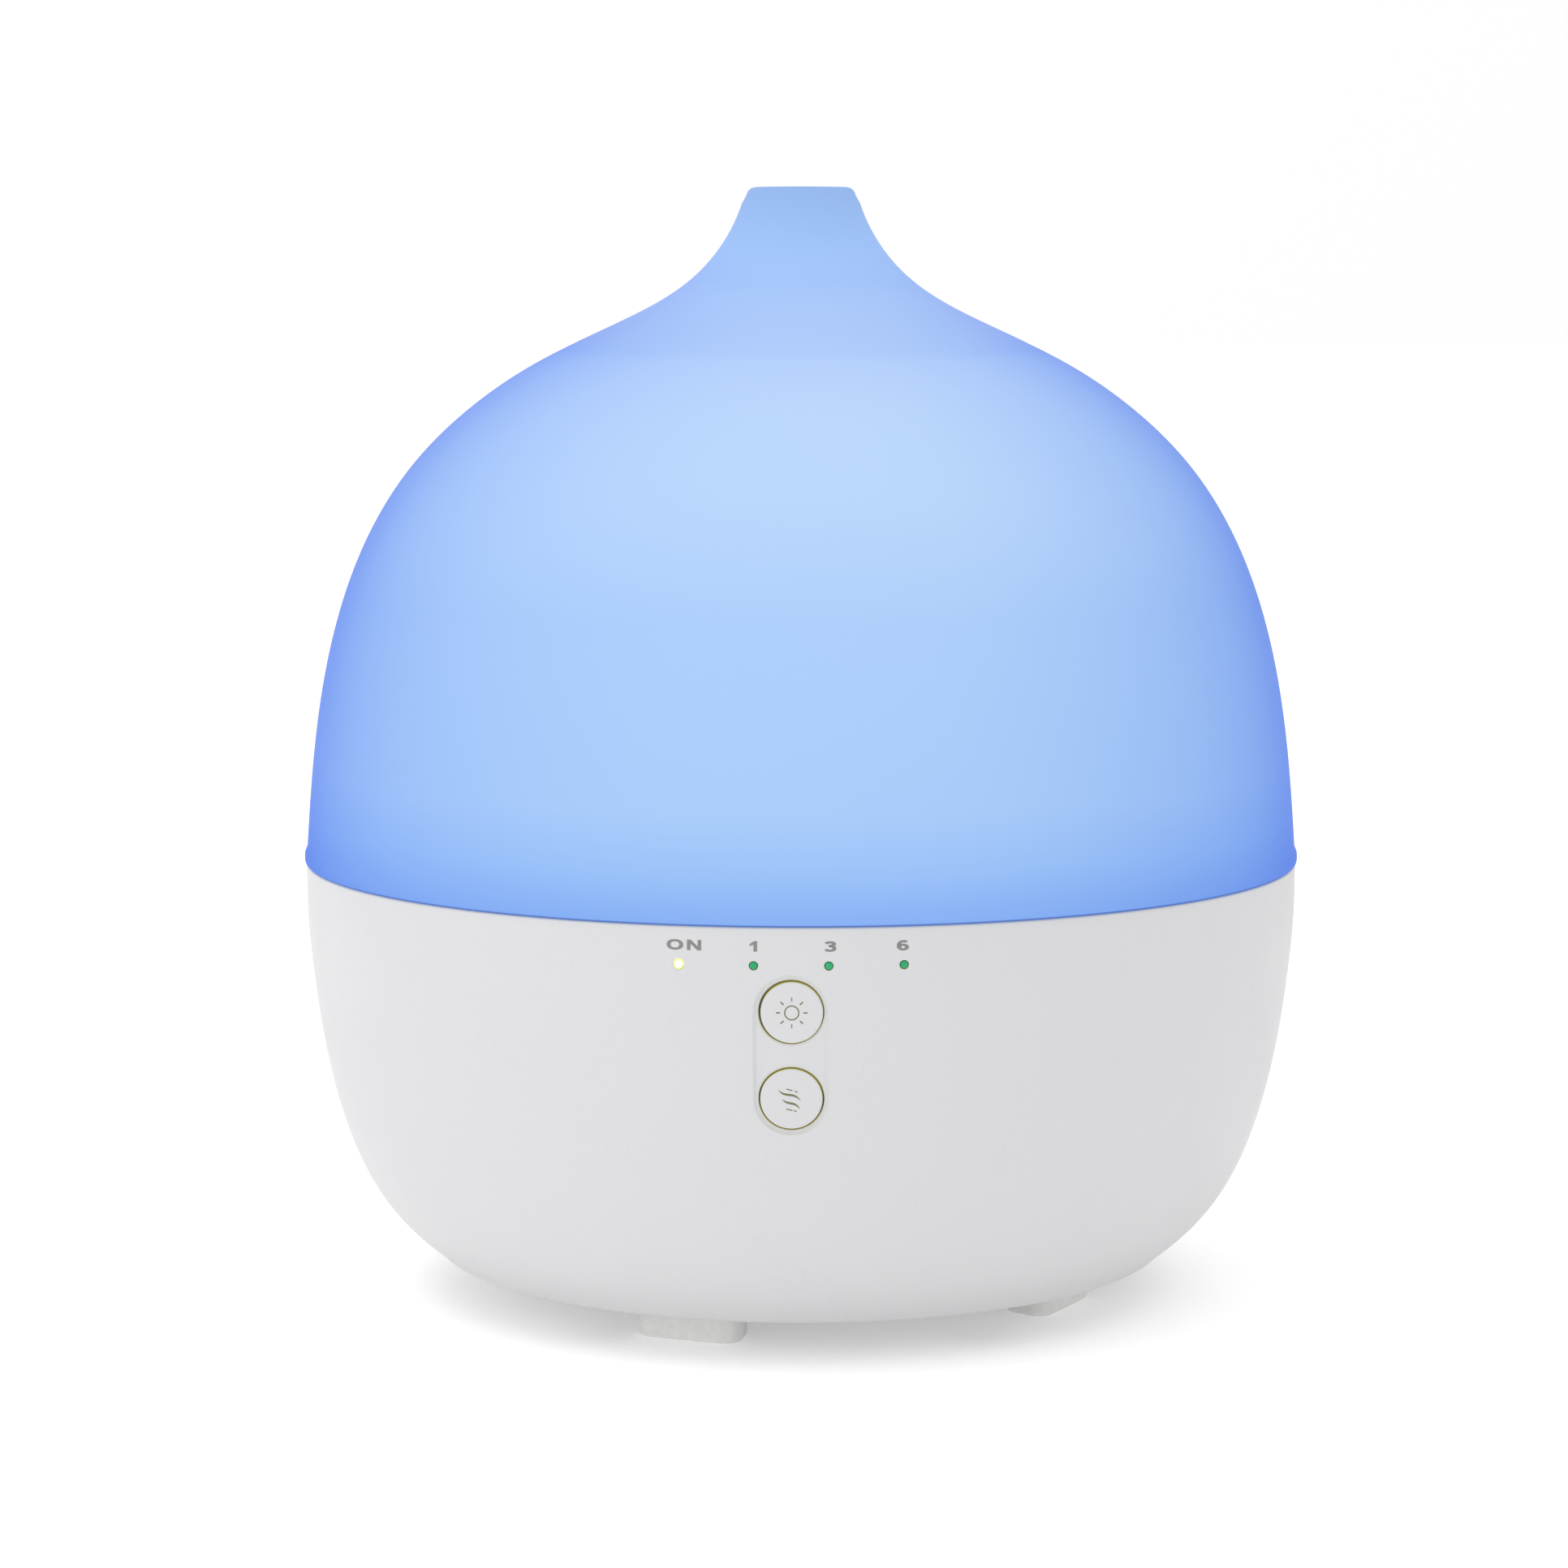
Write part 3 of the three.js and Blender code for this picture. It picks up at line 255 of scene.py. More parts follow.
class Look:
    """A node material on a Principled shader, with short calls for the nodes used here."""

    def __init__(self, name, colour, roughness, **constants):
        self.material = bpy.data.materials.new(name)
        self.material.use_nodes = True
        self.tree = self.material.node_tree
        self.shader = self.tree.nodes["Principled BSDF"]
        self.shader.inputs["Base Color"].default_value = (*colour, 1)
        self.shader.inputs["Roughness"].default_value = roughness
        for socket, value in constants.items():
            self.shader.inputs[socket.replace("_", " ")].default_value = value
        self.position = self.node("ShaderNodeTexCoord").outputs["Object"]

    def node(self, kind, **settings):
        made = self.tree.nodes.new(kind)
        for key, value in settings.items():
            setattr(made, key, value)
        return made

    def link(self, source, target):
        self.tree.links.new(source, target)
        return source

    def noise(self, scale, detail=2, roughness=0.5, vector=None):
        made = self.node("ShaderNodeTexNoise")
        made.inputs["Scale"].default_value = scale
        made.inputs["Detail"].default_value = detail
        made.inputs["Roughness"].default_value = roughness
        self.link(vector or self.position, made.inputs["Vector"])
        return made.outputs["Fac"]

    def span(self, value, low, high, new_low=0.0, new_high=1.0):
        made = self.node("ShaderNodeMapRange")
        for socket, number in zip(MAP_RANGE_SOCKETS, (low, high, new_low, new_high)):
            made.inputs[socket].default_value = number
        self.link(value, made.inputs["Value"])
        return made.outputs["Result"]

    def ramp(self, value, stops, smooth=True):
        made = self.node("ShaderNodeValToRGB")
        made.color_ramp.interpolation = "EASE" if smooth else "LINEAR"
        elements = made.color_ramp.elements
        while len(elements) < len(stops):
            elements.new(0.5)
        for element, (at, colour) in zip(elements, stops):
            element.position = at
            element.color = (*colour, 1)
        self.link(value, made.inputs["Fac"])
        return made.outputs["Color"]

    def mix(self, factor, a, b, blend="MIX"):
        """Mixes two colours. Each is a socket or a plain colour, and the factor a socket or a number."""
        made = self.node("ShaderNodeMix", data_type="RGBA", blend_type=blend)
        for socket, value in ((made.inputs[0], factor), (made.inputs[6], a), (made.inputs[7], b)):
            if isinstance(value, bpy.types.NodeSocket):
                self.link(value, socket)
            elif isinstance(value, (int, float)):
                socket.default_value = value
            else:
                socket.default_value = (*value, 1)
        return made.outputs[2]

    def bump(self, height, distance, strength=1.0, under=None):
        made = self.node("ShaderNodeBump")
        made.inputs["Strength"].default_value = strength
        made.inputs["Distance"].default_value = distance
        self.link(height, made.inputs["Height"])
        if under is not None:
            self.link(under, made.inputs["Normal"])
        return made.outputs["Normal"]

    def colour(self, source):
        self.link(source, self.shader.inputs["Base Color"])

    def rough(self, source):
        self.link(source, self.shader.inputs["Roughness"])

    def normal(self, source):
        self.link(source, self.shader.inputs["Normal"])


def srgb(red, green, blue):
    """A display colour, 0 to 255, as linear light."""
    levels = (red / 255, green / 255, blue / 255)
    return tuple(c / 12.92 if c <= 0.04045 else ((c + 0.055) / 1.055) ** 2.4 for c in levels)


# ---------- materials ----------
# Painted glow, standing in for the light that comes through the cover before the wall absorbs some: dim at
# the lower edge, even over the belly, a painted highlight at the shoulder that faces the lamps, and dim
# again up the neck to the nozzle.
GLOW_EDGE = (0.25, 0.41, 0.70)
GLOW_ABOVE_EDGE = (0.37, 0.55, 0.74)
GLOW_LOW_BELLY = (0.47, 0.63, 0.75)
GLOW_BELLY = (0.51, 0.66, 0.76)
GLOW_SHOULDER = (0.76, 0.87, 0.81)
GLOW_NECK = (0.37, 0.51, 0.73)
GLOW_UPPER_NECK = (0.28, 0.42, 0.69)
GLOW_NOZZLE = (0.23, 0.35, 0.60)
GLOW_STOPS = [
    (0.0, GLOW_EDGE), (0.07, GLOW_ABOVE_EDGE), (0.15, GLOW_LOW_BELLY), (0.40, GLOW_BELLY),
    (0.75, GLOW_SHOULDER), (0.86, GLOW_NECK), (0.92, GLOW_UPPER_NECK), (1.0, GLOW_NOZZLE),
]


def glow_plastic():
    """Frosted shell with a painted glow in place of a lamp inside. Seen at a slant, light comes through more
    of the wall, so it deepens there; the slim neck is thin and far from the lamps, so it stays even."""
    look = Look(
        "glow_plastic", (0.07, 0.12, 0.20), 0.6,
        Specular_IOR_Level=0.06, Coat_IOR=1.03, Coat_Roughness=0.4,
    )
    look.shader.inputs["Coat Tint"].default_value = (0.73, 0.785, 0.955, 1)
    split = look.node("ShaderNodeSeparateXYZ")
    look.link(look.position, split.inputs[0])
    height = look.span(split.outputs["Z"], SEAM_Z * MM, TOP_Z * MM)
    # Painted glow by height, with its painted highlight at the shoulder and painted shade at the lower edge.
    light = look.ramp(height, GLOW_STOPS, smooth=False)
    # Painted shade: the cover's glow grows darker towards its right side, away from the lamps at the left.
    lamps = look.ramp(look.span(split.outputs["X"], -BODY_R * MM, BODY_R * MM), [
        (0.0, (1.0, 1.0, 1.0)), (0.62, (1.0, 1.0, 1.0)), (1.0, (0.86, 0.90, 0.965)),
    ])
    light = look.mix(1.0, light, lamps, "MULTIPLY")
    cloud = look.span(look.noise(13, 2), 0.35, 0.65, 0.0, 0.07)
    light = look.mix(cloud, light, (0.36, 0.50, 0.90))
    look.link(light, look.shader.inputs["Emission Color"])
    look.shader.inputs["Emission Strength"].default_value = 1.0
    look.link(look.span(height, 0.76, 0.92, 1.0, 0.15), look.shader.inputs["Coat Weight"])
    grain = look.noise(5200, 2)
    look.normal(look.bump(grain, 0.00002, 0.35))
    look.rough(look.span(look.noise(60, 3), 0.3, 0.7, 0.55, 0.65))
    return look.material


def white_plastic(name="white_plastic", colour=(0.585, 0.585, 0.596)):
    """Matt moulded plastic: fine grain, a very faint hairline network and slightly uneven gloss."""
    look = Look(name, colour, 0.5, Specular_IOR_Level=0.4)
    wander = look.node("ShaderNodeVectorMath", operation="MULTIPLY_ADD")
    drift = look.node("ShaderNodeTexNoise")
    drift.inputs["Scale"].default_value = 380
    look.link(look.position, drift.inputs["Vector"])
    look.link(drift.outputs["Color"], wander.inputs[0])
    wander.inputs[1].default_value = (0.0016, 0.0016, 0.0016)
    look.link(look.position, wander.inputs[2])
    cells = look.node("ShaderNodeTexVoronoi", feature="DISTANCE_TO_EDGE")
    cells.inputs["Scale"].default_value = 330
    look.link(wander.outputs[0], cells.inputs["Vector"])
    line = look.span(cells.outputs["Distance"], 0.0, 0.02, 1.0, 0.0)
    patchy = look.span(look.noise(90, 2), 0.45, 0.62, 0.0, 0.09)
    hair = look.node("ShaderNodeMath", operation="MULTIPLY")
    look.link(line, hair.inputs[0])
    look.link(patchy, hair.inputs[1])
    grain = look.noise(3600, 3, 0.65)
    speck = look.span(grain, 0.3, 0.7, 0.0, 0.05)
    tone = look.mix(speck, colour, tuple(0.86 * c for c in colour))
    tone = look.mix(hair.outputs[0], tone, tuple(0.55 * c for c in colour))
    look.colour(tone)
    look.rough(look.span(look.noise(45, 3), 0.3, 0.7, 0.44, 0.56))
    cut = look.bump(line, 0.00001, 0.3)
    look.normal(look.bump(grain, 0.00003, 0.5, under=cut))
    return look.material


def gap_shade():
    """The walls of the narrow gaps round the buttons: painted shade in a mottled olive brown, with a faint
    painted glow where light gets into the gaps.
    """
    look = Look("gap_shade", srgb(166, 160, 84), 0.8, Specular_IOR_Level=0.1)
    # A random mottle in the olive of the painted gap shade.
    mottle = look.noise(1500, 3)
    look.colour(look.mix(mottle, srgb(150, 146, 62), srgb(196, 190, 120)))
    # Painted glow: the gap walls give off a faint olive light of their own.
    look.shader.inputs["Emission Color"].default_value = (*srgb(114, 112, 58), 1)
    look.shader.inputs["Emission Strength"].default_value = 0.55
    look.normal(look.bump(mottle, 0.00005, 0.4))
    return look.material


def plain(name, colour, roughness, scale=900, depth=0.00002, **constants):
    """A moulded or printed finish with a slightly uneven tone and a fine grain."""
    look = Look(name, colour, roughness, **constants)
    grain = look.noise(scale, 3)
    look.colour(look.mix(look.span(grain, 0.3, 0.7, 0, 1), tuple(0.92 * c for c in colour), colour))
    look.rough(look.span(look.noise(scale / 8, 2), 0.3, 0.7, roughness - 0.05, roughness + 0.05))
    look.normal(look.bump(grain, depth, 0.4))
    return look.material


def lit_lens():
    """A lens lit from behind: white in the middle and yellow at the rim."""
    look = Look("lit_lens", (0.7, 0.72, 0.3), 0.3)
    away = look.node("ShaderNodeVectorMath", operation="DISTANCE")
    flat = look.node("ShaderNodeVectorMath", operation="MULTIPLY")
    flat.inputs[1].default_value = (1, 0, 1)
    look.link(look.position, flat.inputs[0])
    look.link(flat.outputs[0], away.inputs[0])
    away.inputs[1].default_value = (LENS_X["indicator_lens_on"] * MM, 0, LENS_Z * MM)
    share = look.span(away.outputs["Value"], 0, LENS_R["indicator_lens_on"] * MM)
    stops = [(0.0, (1, 1, 1)), (0.6, (1, 1, 0.8)), (0.85, (0.93, 1, 0.22)), (1.0, (0.75, 0.85, 0.12))]
    colour = look.ramp(share, stops)
    look.link(colour, look.shader.inputs["Emission Color"])
    look.shader.inputs["Emission Strength"].default_value = 1.0
    return look.material


def circuit_board():
    """Green solder resist over glass fibre, with rows of paler copper tracks and tinned pads."""
    look = Look("circuit_board", srgb(30, 108, 70), 0.42, Specular_IOR_Level=0.5)
    tracks = look.node("ShaderNodeTexVoronoi", distance="CHEBYCHEV", feature="DISTANCE_TO_EDGE")
    tracks.inputs["Scale"].default_value = 420
    tracks.inputs["Randomness"].default_value = 0.75
    look.link(look.position, tracks.inputs["Vector"])
    track = look.span(tracks.outputs["Distance"], 0.05, 0.09, 1.0, 0.0)
    pads = look.node("ShaderNodeTexVoronoi")
    pads.inputs["Scale"].default_value = 330
    look.link(look.position, pads.inputs["Vector"])
    pad = look.span(pads.outputs["Distance"], 0.14, 0.18, 1.0, 0.0)
    tone = look.mix(look.noise(700, 2), srgb(24, 96, 60), srgb(36, 120, 80))
    tone = look.mix(track, tone, srgb(66, 150, 96))
    look.colour(look.mix(pad, tone, srgb(196, 192, 180)))
    look.normal(look.bump(track, 0.00003, 0.5))
    look.rough(look.span(look.noise(300, 2), 0.3, 0.7, 0.36, 0.5))
    return look.material


def metal(name, colour, roughness, along=(1, 1, 12), scale=900):
    """Bare metal with fine drawn lines along one axis and cloudy handling marks."""
    look = Look(name, colour, roughness, Metallic=1.0)
    stretch = look.node("ShaderNodeVectorMath", operation="MULTIPLY")
    look.link(look.position, stretch.inputs[0])
    stretch.inputs[1].default_value = along
    lines = look.noise(scale, 3, 0.6, stretch.outputs[0])
    look.colour(look.mix(lines, tuple(0.82 * c for c in colour), colour))
    look.rough(look.span(look.noise(120, 3), 0.3, 0.7, roughness - 0.07, roughness + 0.1))
    look.normal(look.bump(lines, 0.00001, 0.5))
    return look.material


def translucent(name, colour, roughness, through):
    """Milky moulded plastic that lets a little light into itself."""
    look = Look(name, colour, roughness, Specular_IOR_Level=0.45, Subsurface_Weight=through)
    look.shader.inputs["Subsurface Radius"].default_value = (0.004, 0.004, 0.0045)
    look.shader.inputs["Subsurface Scale"].default_value = 1.0
    grain = look.noise(2600, 3)
    flow = look.noise(26, 3)
    look.colour(look.mix(look.span(flow, 0.3, 0.7, 0.0, 1.0), tuple(0.95 * c for c in colour), colour))
    look.rough(look.span(flow, 0.3, 0.7, roughness - 0.05, roughness + 0.07))
    look.normal(look.bump(grain, 0.00002, 0.4))
    return look.material


GLOW = glow_plastic()
WHITE = white_plastic()
GAP_SHADE = gap_shade()
RUBBER = plain("foot_rubber", (0.80, 0.80, 0.785), 0.7)
PRINT_GREY = plain("legend_print", srgb(126, 124, 124), 0.6)
PRINT_OLIVE = plain("icon_print", srgb(116, 112, 82), 0.7)
GREEN_LENS = plain("green_lens", srgb(14, 156, 96), 0.3)
LIT_LENS = lit_lens()
MILKY = translucent("milky_plastic", (0.80, 0.83, 0.88), 0.42, 0.3)
TANK = translucent("tank_plastic", (0.80, 0.81, 0.83), 0.36, 0.15)
BOARD = circuit_board()
BLACK = plain("black_plastic", (0.014, 0.014, 0.015), 0.5, scale=2400)
LED = plain("led_plastic", (0.86, 0.80, 0.45), 0.3, scale=1500)
CERAMIC = plain("ceramic", (0.78, 0.72, 0.58), 0.28, scale=1800, depth=0.00001)
SILICONE = plain("silicone", (0.55, 0.57, 0.60), 0.62, scale=1300)
ALUMINIUM = metal("aluminium", (0.78, 0.79, 0.80), 0.34)
STEEL = metal("steel", (0.60, 0.61, 0.63), 0.26, along=(1, 1, 5), scale=1500)
RED_LEAD = plain("red_lead", (0.36, 0.02, 0.018), 0.38, scale=700)
GREY_LEAD = plain("grey_lead", (0.24, 0.24, 0.25), 0.42, scale=700)


# ---------- camera, light and floor ----------
CAMERA_DISTANCE = 0.756
CAMERA_TURN = 1.0
CAMERA_PITCH = 6.69
CAMERA_YAW = 0.217
CAMERA_Z = 0.1742
LENS_MM = 102.4


def place_camera():
    """The camera in front of the panel, looking slightly down."""
    data = bpy.data.cameras.new("camera")
    data.lens = LENS_MM
    data.sensor_width = 36
    data.clip_start = 0.01
    camera = bpy.data.objects.new("camera", data)
    turn = math.radians(CAMERA_TURN)
    camera.location = (CAMERA_DISTANCE * math.sin(turn), -CAMERA_DISTANCE * math.cos(turn), CAMERA_Z)
    camera.rotation_euler = (math.radians(90 - CAMERA_PITCH), 0, turn + math.radians(CAMERA_YAW))
    bpy.context.scene.collection.objects.link(camera)
    bpy.context.scene.camera = camera


def area_light(name, location, target, size, power, colour=(1, 1, 1)):
    """A round soft lamp pointed at a place."""
    data = bpy.data.lights.new(name, "AREA")
    data.shape = "DISK"
    data.size = size
    data.energy = power
    data.color = colour
    made = bpy.data.objects.new(name, data)
    made.location = location
    made.rotation_euler = (Vector(target) - Vector(location)).to_track_quat("-Z", "Y").to_euler()
    bpy.context.scene.collection.objects.link(made)


def studio():
    """A white surround, brighter to the upper left, with a broad lamp overhead and a weak one at the left."""
    scene = bpy.context.scene
    scene.view_settings.view_transform = "Standard"
    world = bpy.data.worlds.new("studio")
    world.use_nodes = True
    nodes, links = world.node_tree.nodes, world.node_tree.links
    coordinates = nodes.new("ShaderNodeTexCoord")
    towards = nodes.new("ShaderNodeVectorMath")
    towards.operation = "DOT_PRODUCT"
    towards.inputs[1].default_value = (-0.75, 0.1, 0.65)
    links.new(coordinates.outputs["Generated"], towards.inputs[0])
    level = nodes.new("ShaderNodeMapRange")
    for socket, number in zip(MAP_RANGE_SOCKETS, (-1, 1, 0.92, 1.07)):
        level.inputs[socket].default_value = number
    links.new(towards.outputs["Value"], level.inputs["Value"])
    links.new(level.outputs["Result"], nodes["Background"].inputs["Strength"])
    nodes["Background"].inputs["Color"].default_value = (1, 1, 1, 1)
    scene.world = world
    area_light("key", (-0.35, -0.25, 1.4), (0, 0, 0.05), 1.0, 3.2)
    area_light("side", (-1.15, -0.7, 0.42), (0, 0, 0.09), 0.7, 1.5)


def floor():
    """A plain pale floor, which glows slightly so that its contact shadow stays soft and narrow."""
    vertices, faces = turned([(0, 0), (9000, 0), (9000, -5), (0, -5)], even_turns(64))
    look = Look("floor", (0.93, 0.93, 0.925), 0.9, Specular_IOR_Level=0.1)
    tint = look.noise(3, 2)
    look.colour(look.mix(look.span(tint, 0.3, 0.7, 0, 0.02), (0.94, 0.94, 0.935), (0.90, 0.90, 0.89)))
    look.shader.inputs["Emission Color"].default_value = (1, 1, 1, 1)
    look.shader.inputs["Emission Strength"].default_value = 0.235
    mesh = bpy.data.meshes.new("floor")
    mesh.from_pydata((vertices * MM).tolist(), [], faces.tolist())
    mesh.materials.append(look.material)
    made = bpy.data.objects.new("floor", mesh)
    bpy.context.scene.collection.objects.link(made)
    tidy_mesh(made, 30)


# ---------- the cover ----------
def cover():
    """The glowing shell, with a bead round its lower edge, a rounded nozzle and a skirt."""
    rim_r, rim_corner = 1.1, 0.3
    outside = spline(COVER_OUTLINE, 120)
    outside = outside[outside[:, 1] > 2.2]
    bead = np.concatenate([
        fillet((BODY_R + 0.28 - rim_corner, rim_corner + 0.05), rim_corner, -90, 0, 5),
        fillet((BODY_R + 0.28 - rim_r, rim_r + 0.05), rim_r, 0, 20, 3),
    ])
    top = TOP_Z - SEAM_Z
    corner = 1.6
    lip = fillet((9.2 - corner, top - corner), corner, 10, 90, 9)
    outside = outside[outside[:, 1] < top - corner - 0.4]
    mouth = fillet((6.5, top - 0.5), 0.5, 90, 180, 5)
    inside = inset(spline(COVER_OUTLINE, 60), WALL)
    inside = inside[(inside[:, 1] > 2) & (inside[:, 1] < top - 8)][::-1]
    inner_r = inside[-1, 0]
    skirt = [(inner_r, 0.2), (79.4, 0.2), (79.4, -1.6), (79.8, -1.8), (80.9, -1.8), (81.2, -1.5), (81.2, 0)]
    profile = np.concatenate([bead, outside, lip, mouth, [(6, top - 4.4), (8.2, top - 4.4)], inside, skirt])
    made = piece("cover_shell", *turned(raised(profile), even_turns(288)), [GLOW], "top_cover")
    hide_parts("top_cover")


# ---------- the base housing ----------
def slot_distance(x, z):
    """How far a point of the front is outside the stadium outline round the buttons."""
    middle = (BUTTON_Z["light_button"] + BUTTON_Z["mist_button"]) / 2
    reach = np.clip(z - middle, -SLOT_REACH, SLOT_REACH)
    return np.hypot(x, z - middle - reach) - SLOT_HALF_W


def softened(distance, width):
    """1 inside an edge, 0 outside it, with a smooth step as wide as said."""
    t = np.clip(0.5 - distance / width, 0, 1)
    return t * t * (3 - 2 * t)


def edge_dip(distance, width, depth):
    """A rounded edge just outside an opening."""
    t = np.clip(1 - distance / width, 0, 1)
    return depth * t * t


def housing():
    """The rounded white shell, with the button recess, the holes and the socket's pocket."""
    turns = graded((-16, -12.8, 0.5), (-12.8, -10.9, 0.11), (-10.9, -5.4, 0.4), (-5.4, 5.4, 0.13),
                   (5.4, 10.9, 0.4), (10.9, 12.8, 0.11), (12.8, 16, 0.5), (16, 171, 1.9),
                   (171, 189, 0.36), (189, 344, 1.9))
    rim_z, rim_r = SEAM_Z - RIM_GAP, 0.35
    rows_z = graded((rim_z - rim_r, 69, 0.6), (69, 66, 0.14), (66, 40, 0.19), (40, 35.5, 0.9),
                    (35.5, 16.5, 0.42), (16.5, 7.2, 0.8))
    outer = np.stack([body_radius(rows_z), rows_z], axis=1)
    rim = fillet((BODY_R - rim_r, rim_z - rim_r), rim_r, 90, 15, 5)
    foot_edge = fillet((60.13, FLOOR_Z + 3.2), 3.2, -40, -90, 8)
    inner = inset(raised(spline(BASE_OUTLINE, 40)), WALL)
    inner = inner[(inner[:, 1] > FLOOR_Z + 3.2) & (inner[:, 1] < SEAM_Z - SEAM_GAP - 0.6)][::-1]
    lip = [(60.0, FLOOR_Z), (60.0, FLOOR_Z + 2.6)]
    top = [(inner[-1, 0], rim_z)]
    profile = np.concatenate([rim, outer, foot_edge, lip, inner, top])
    vertices, faces = turned(profile, turns)
    grid = vertices.reshape(len(profile), len(turns), 3)

    skin = grid[len(rim):len(rim) + len(outer)]
    x, y, z = skin[..., 0], skin[..., 1], skin[..., 2]
    front, back = y < 0, y > 0
    dip = SLOT_DEPTH * softened(slot_distance(x, z), 0.5) * front
    for hole_z in BUTTON_Z.values():
        dip += edge_dip(np.hypot(x, z - hole_z) - HOLE_R, 0.28, 0.16) * front
    for name, lens_x in LENS_X.items():
        dip += edge_dip(np.hypot(x - lens_x, z - LENS_Z) - LENS_R[name] - 0.1, 0.2, 0.08) * front
    dip += edge_dip(np.hypot(x, z - JACK_Z) - JACK_POCKET_R, 0.7, 0.35) * back
    radius = np.hypot(x, y)
    skin[..., 0] -= x / radius * dip
    skin[..., 1] -= y / radius * dip

    made = piece("housing_shell", vertices, faces, [WHITE], "base")
    boss = bar_along_y(9.6, 68.8, 80, 0, JACK_Z, 96)
    block = np.concatenate([[(0, BASE_LINE[0, 1])], inset(BASE_LINE[::40], 0.8), [(0, BASE_LINE[-1, 1])]])
    boss_piece = cutter("boss", *boss, WHITE)
    combine(boss_piece, cutter("block", *turned(block, even_turns(180)), WHITE), "INTERSECT")
    combine(made, boss_piece, "UNION")
    pocket = bar_along_y(JACK_POCKET_R, JACK_POCKET_Y, 90, 0, JACK_Z, 128)
    combine(made, cutter("pocket", *pocket, WHITE), "DIFFERENCE")
    # The walls that these cuts make take the painted gap shade, with its faint painted glow.
    socket = bar_along_y(4.3, 60, 75, 0, JACK_Z, 64)
    combine(made, cutter("socket", *socket, GAP_SHADE), "DIFFERENCE")
    holes = [bar_along_y(HOLE_R, -90, -70, 0, z, 128) for z in BUTTON_Z.values()]
    holes += [bar_along_y(LENS_R[n] + 0.1, -90, -70, LENS_X[n], LENS_Z, 32) for n in LENS_NODES]
    combine(made, cutter("holes", *joined(*holes), GAP_SHADE), "DIFFERENCE")
    made.data.shade_smooth()
    made.data.set_sharp_from_angle(angle=math.radians(28))
    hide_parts("base_housing")


# ---------- the panel ----------
def ribbon(points, widths):
    """A flat stroke in the XZ plane as two rails of points."""
    p = np.asarray(points, float)
    along = np.gradient(p, axis=0)
    along /= np.linalg.norm(along, axis=1)[:, None]
    side = np.stack([-along[:, 1], along[:, 0]], axis=1) * (np.asarray(widths, float) / 2)[:, None]
    return p + side, p - side


def inlay(strokes, outlines, at, surface, lift=0.02, depth=0.08):
    """Vertices and faces of thin marks on a surface y(x, z). Strokes are pairs of rails, outlines are
    closed loops, and both are placed at [x, z]."""
    vertices, faces = [], []

    def loop_faces(ring, caps):
        n = len(ring)
        start = sum(len(v) for v in vertices)
        for y_shift in (-lift, depth):
            xz = np.asarray(ring) + at
            vertices.append(np.stack([xz[:, 0], surface(xz[:, 0], xz[:, 1]) + y_shift, xz[:, 1]], axis=1))
        for face in caps:
            faces.append([start + i for i in face])
            faces.append([start + n + i for i in reversed(face)])
        for i in range(n):
            after = (i + 1) % n
            faces.append([start + i, start + after, start + n + after, start + n + i])

    for left, right in strokes:
        n = len(left)
        ring = np.concatenate([left, right[::-1]])
        loop_faces(ring, [[i, i + 1, 2 * n - 2 - i, 2 * n - 1 - i] for i in range(n - 1)])
    for outline in outlines:
        loop_faces(outline, [list(range(len(outline)))])
    return np.concatenate(vertices), faces


def stroke(points, width, count=24, stretch=1.0, taper=False):
    """A ribbon along a smooth line. A stretch widens it along X, as in an extended typeface."""
    line = spline(points, count) if len(points) > 2 else np.linspace(points[0], points[-1], 2)
    widths = np.full(len(line), width)
    if taper:
        widths = width * np.maximum(np.sin(np.linspace(0, np.pi, len(line))) ** 0.7, 0.12)
    return tuple(rail * [stretch, 1] for rail in ribbon(line, widths))


LETTER_H = 1.62
LETTER_Z = 70.42
LETTER_STRETCH = 1.9
LETTER_STROKE = 0.33


def loop(half_w, half_h, power, count=40):
    """A closed rounded loop, squarer than an ellipse when the power is above 2."""
    a = np.linspace(0, 2 * np.pi, count)
    c, s = np.cos(a), np.sin(a)
    x = half_w * np.sign(c) * abs(c) ** (2 / power)
    z = half_h * np.sign(s) * abs(s) ** (2 / power)
    return np.stack([x, z], axis=1)


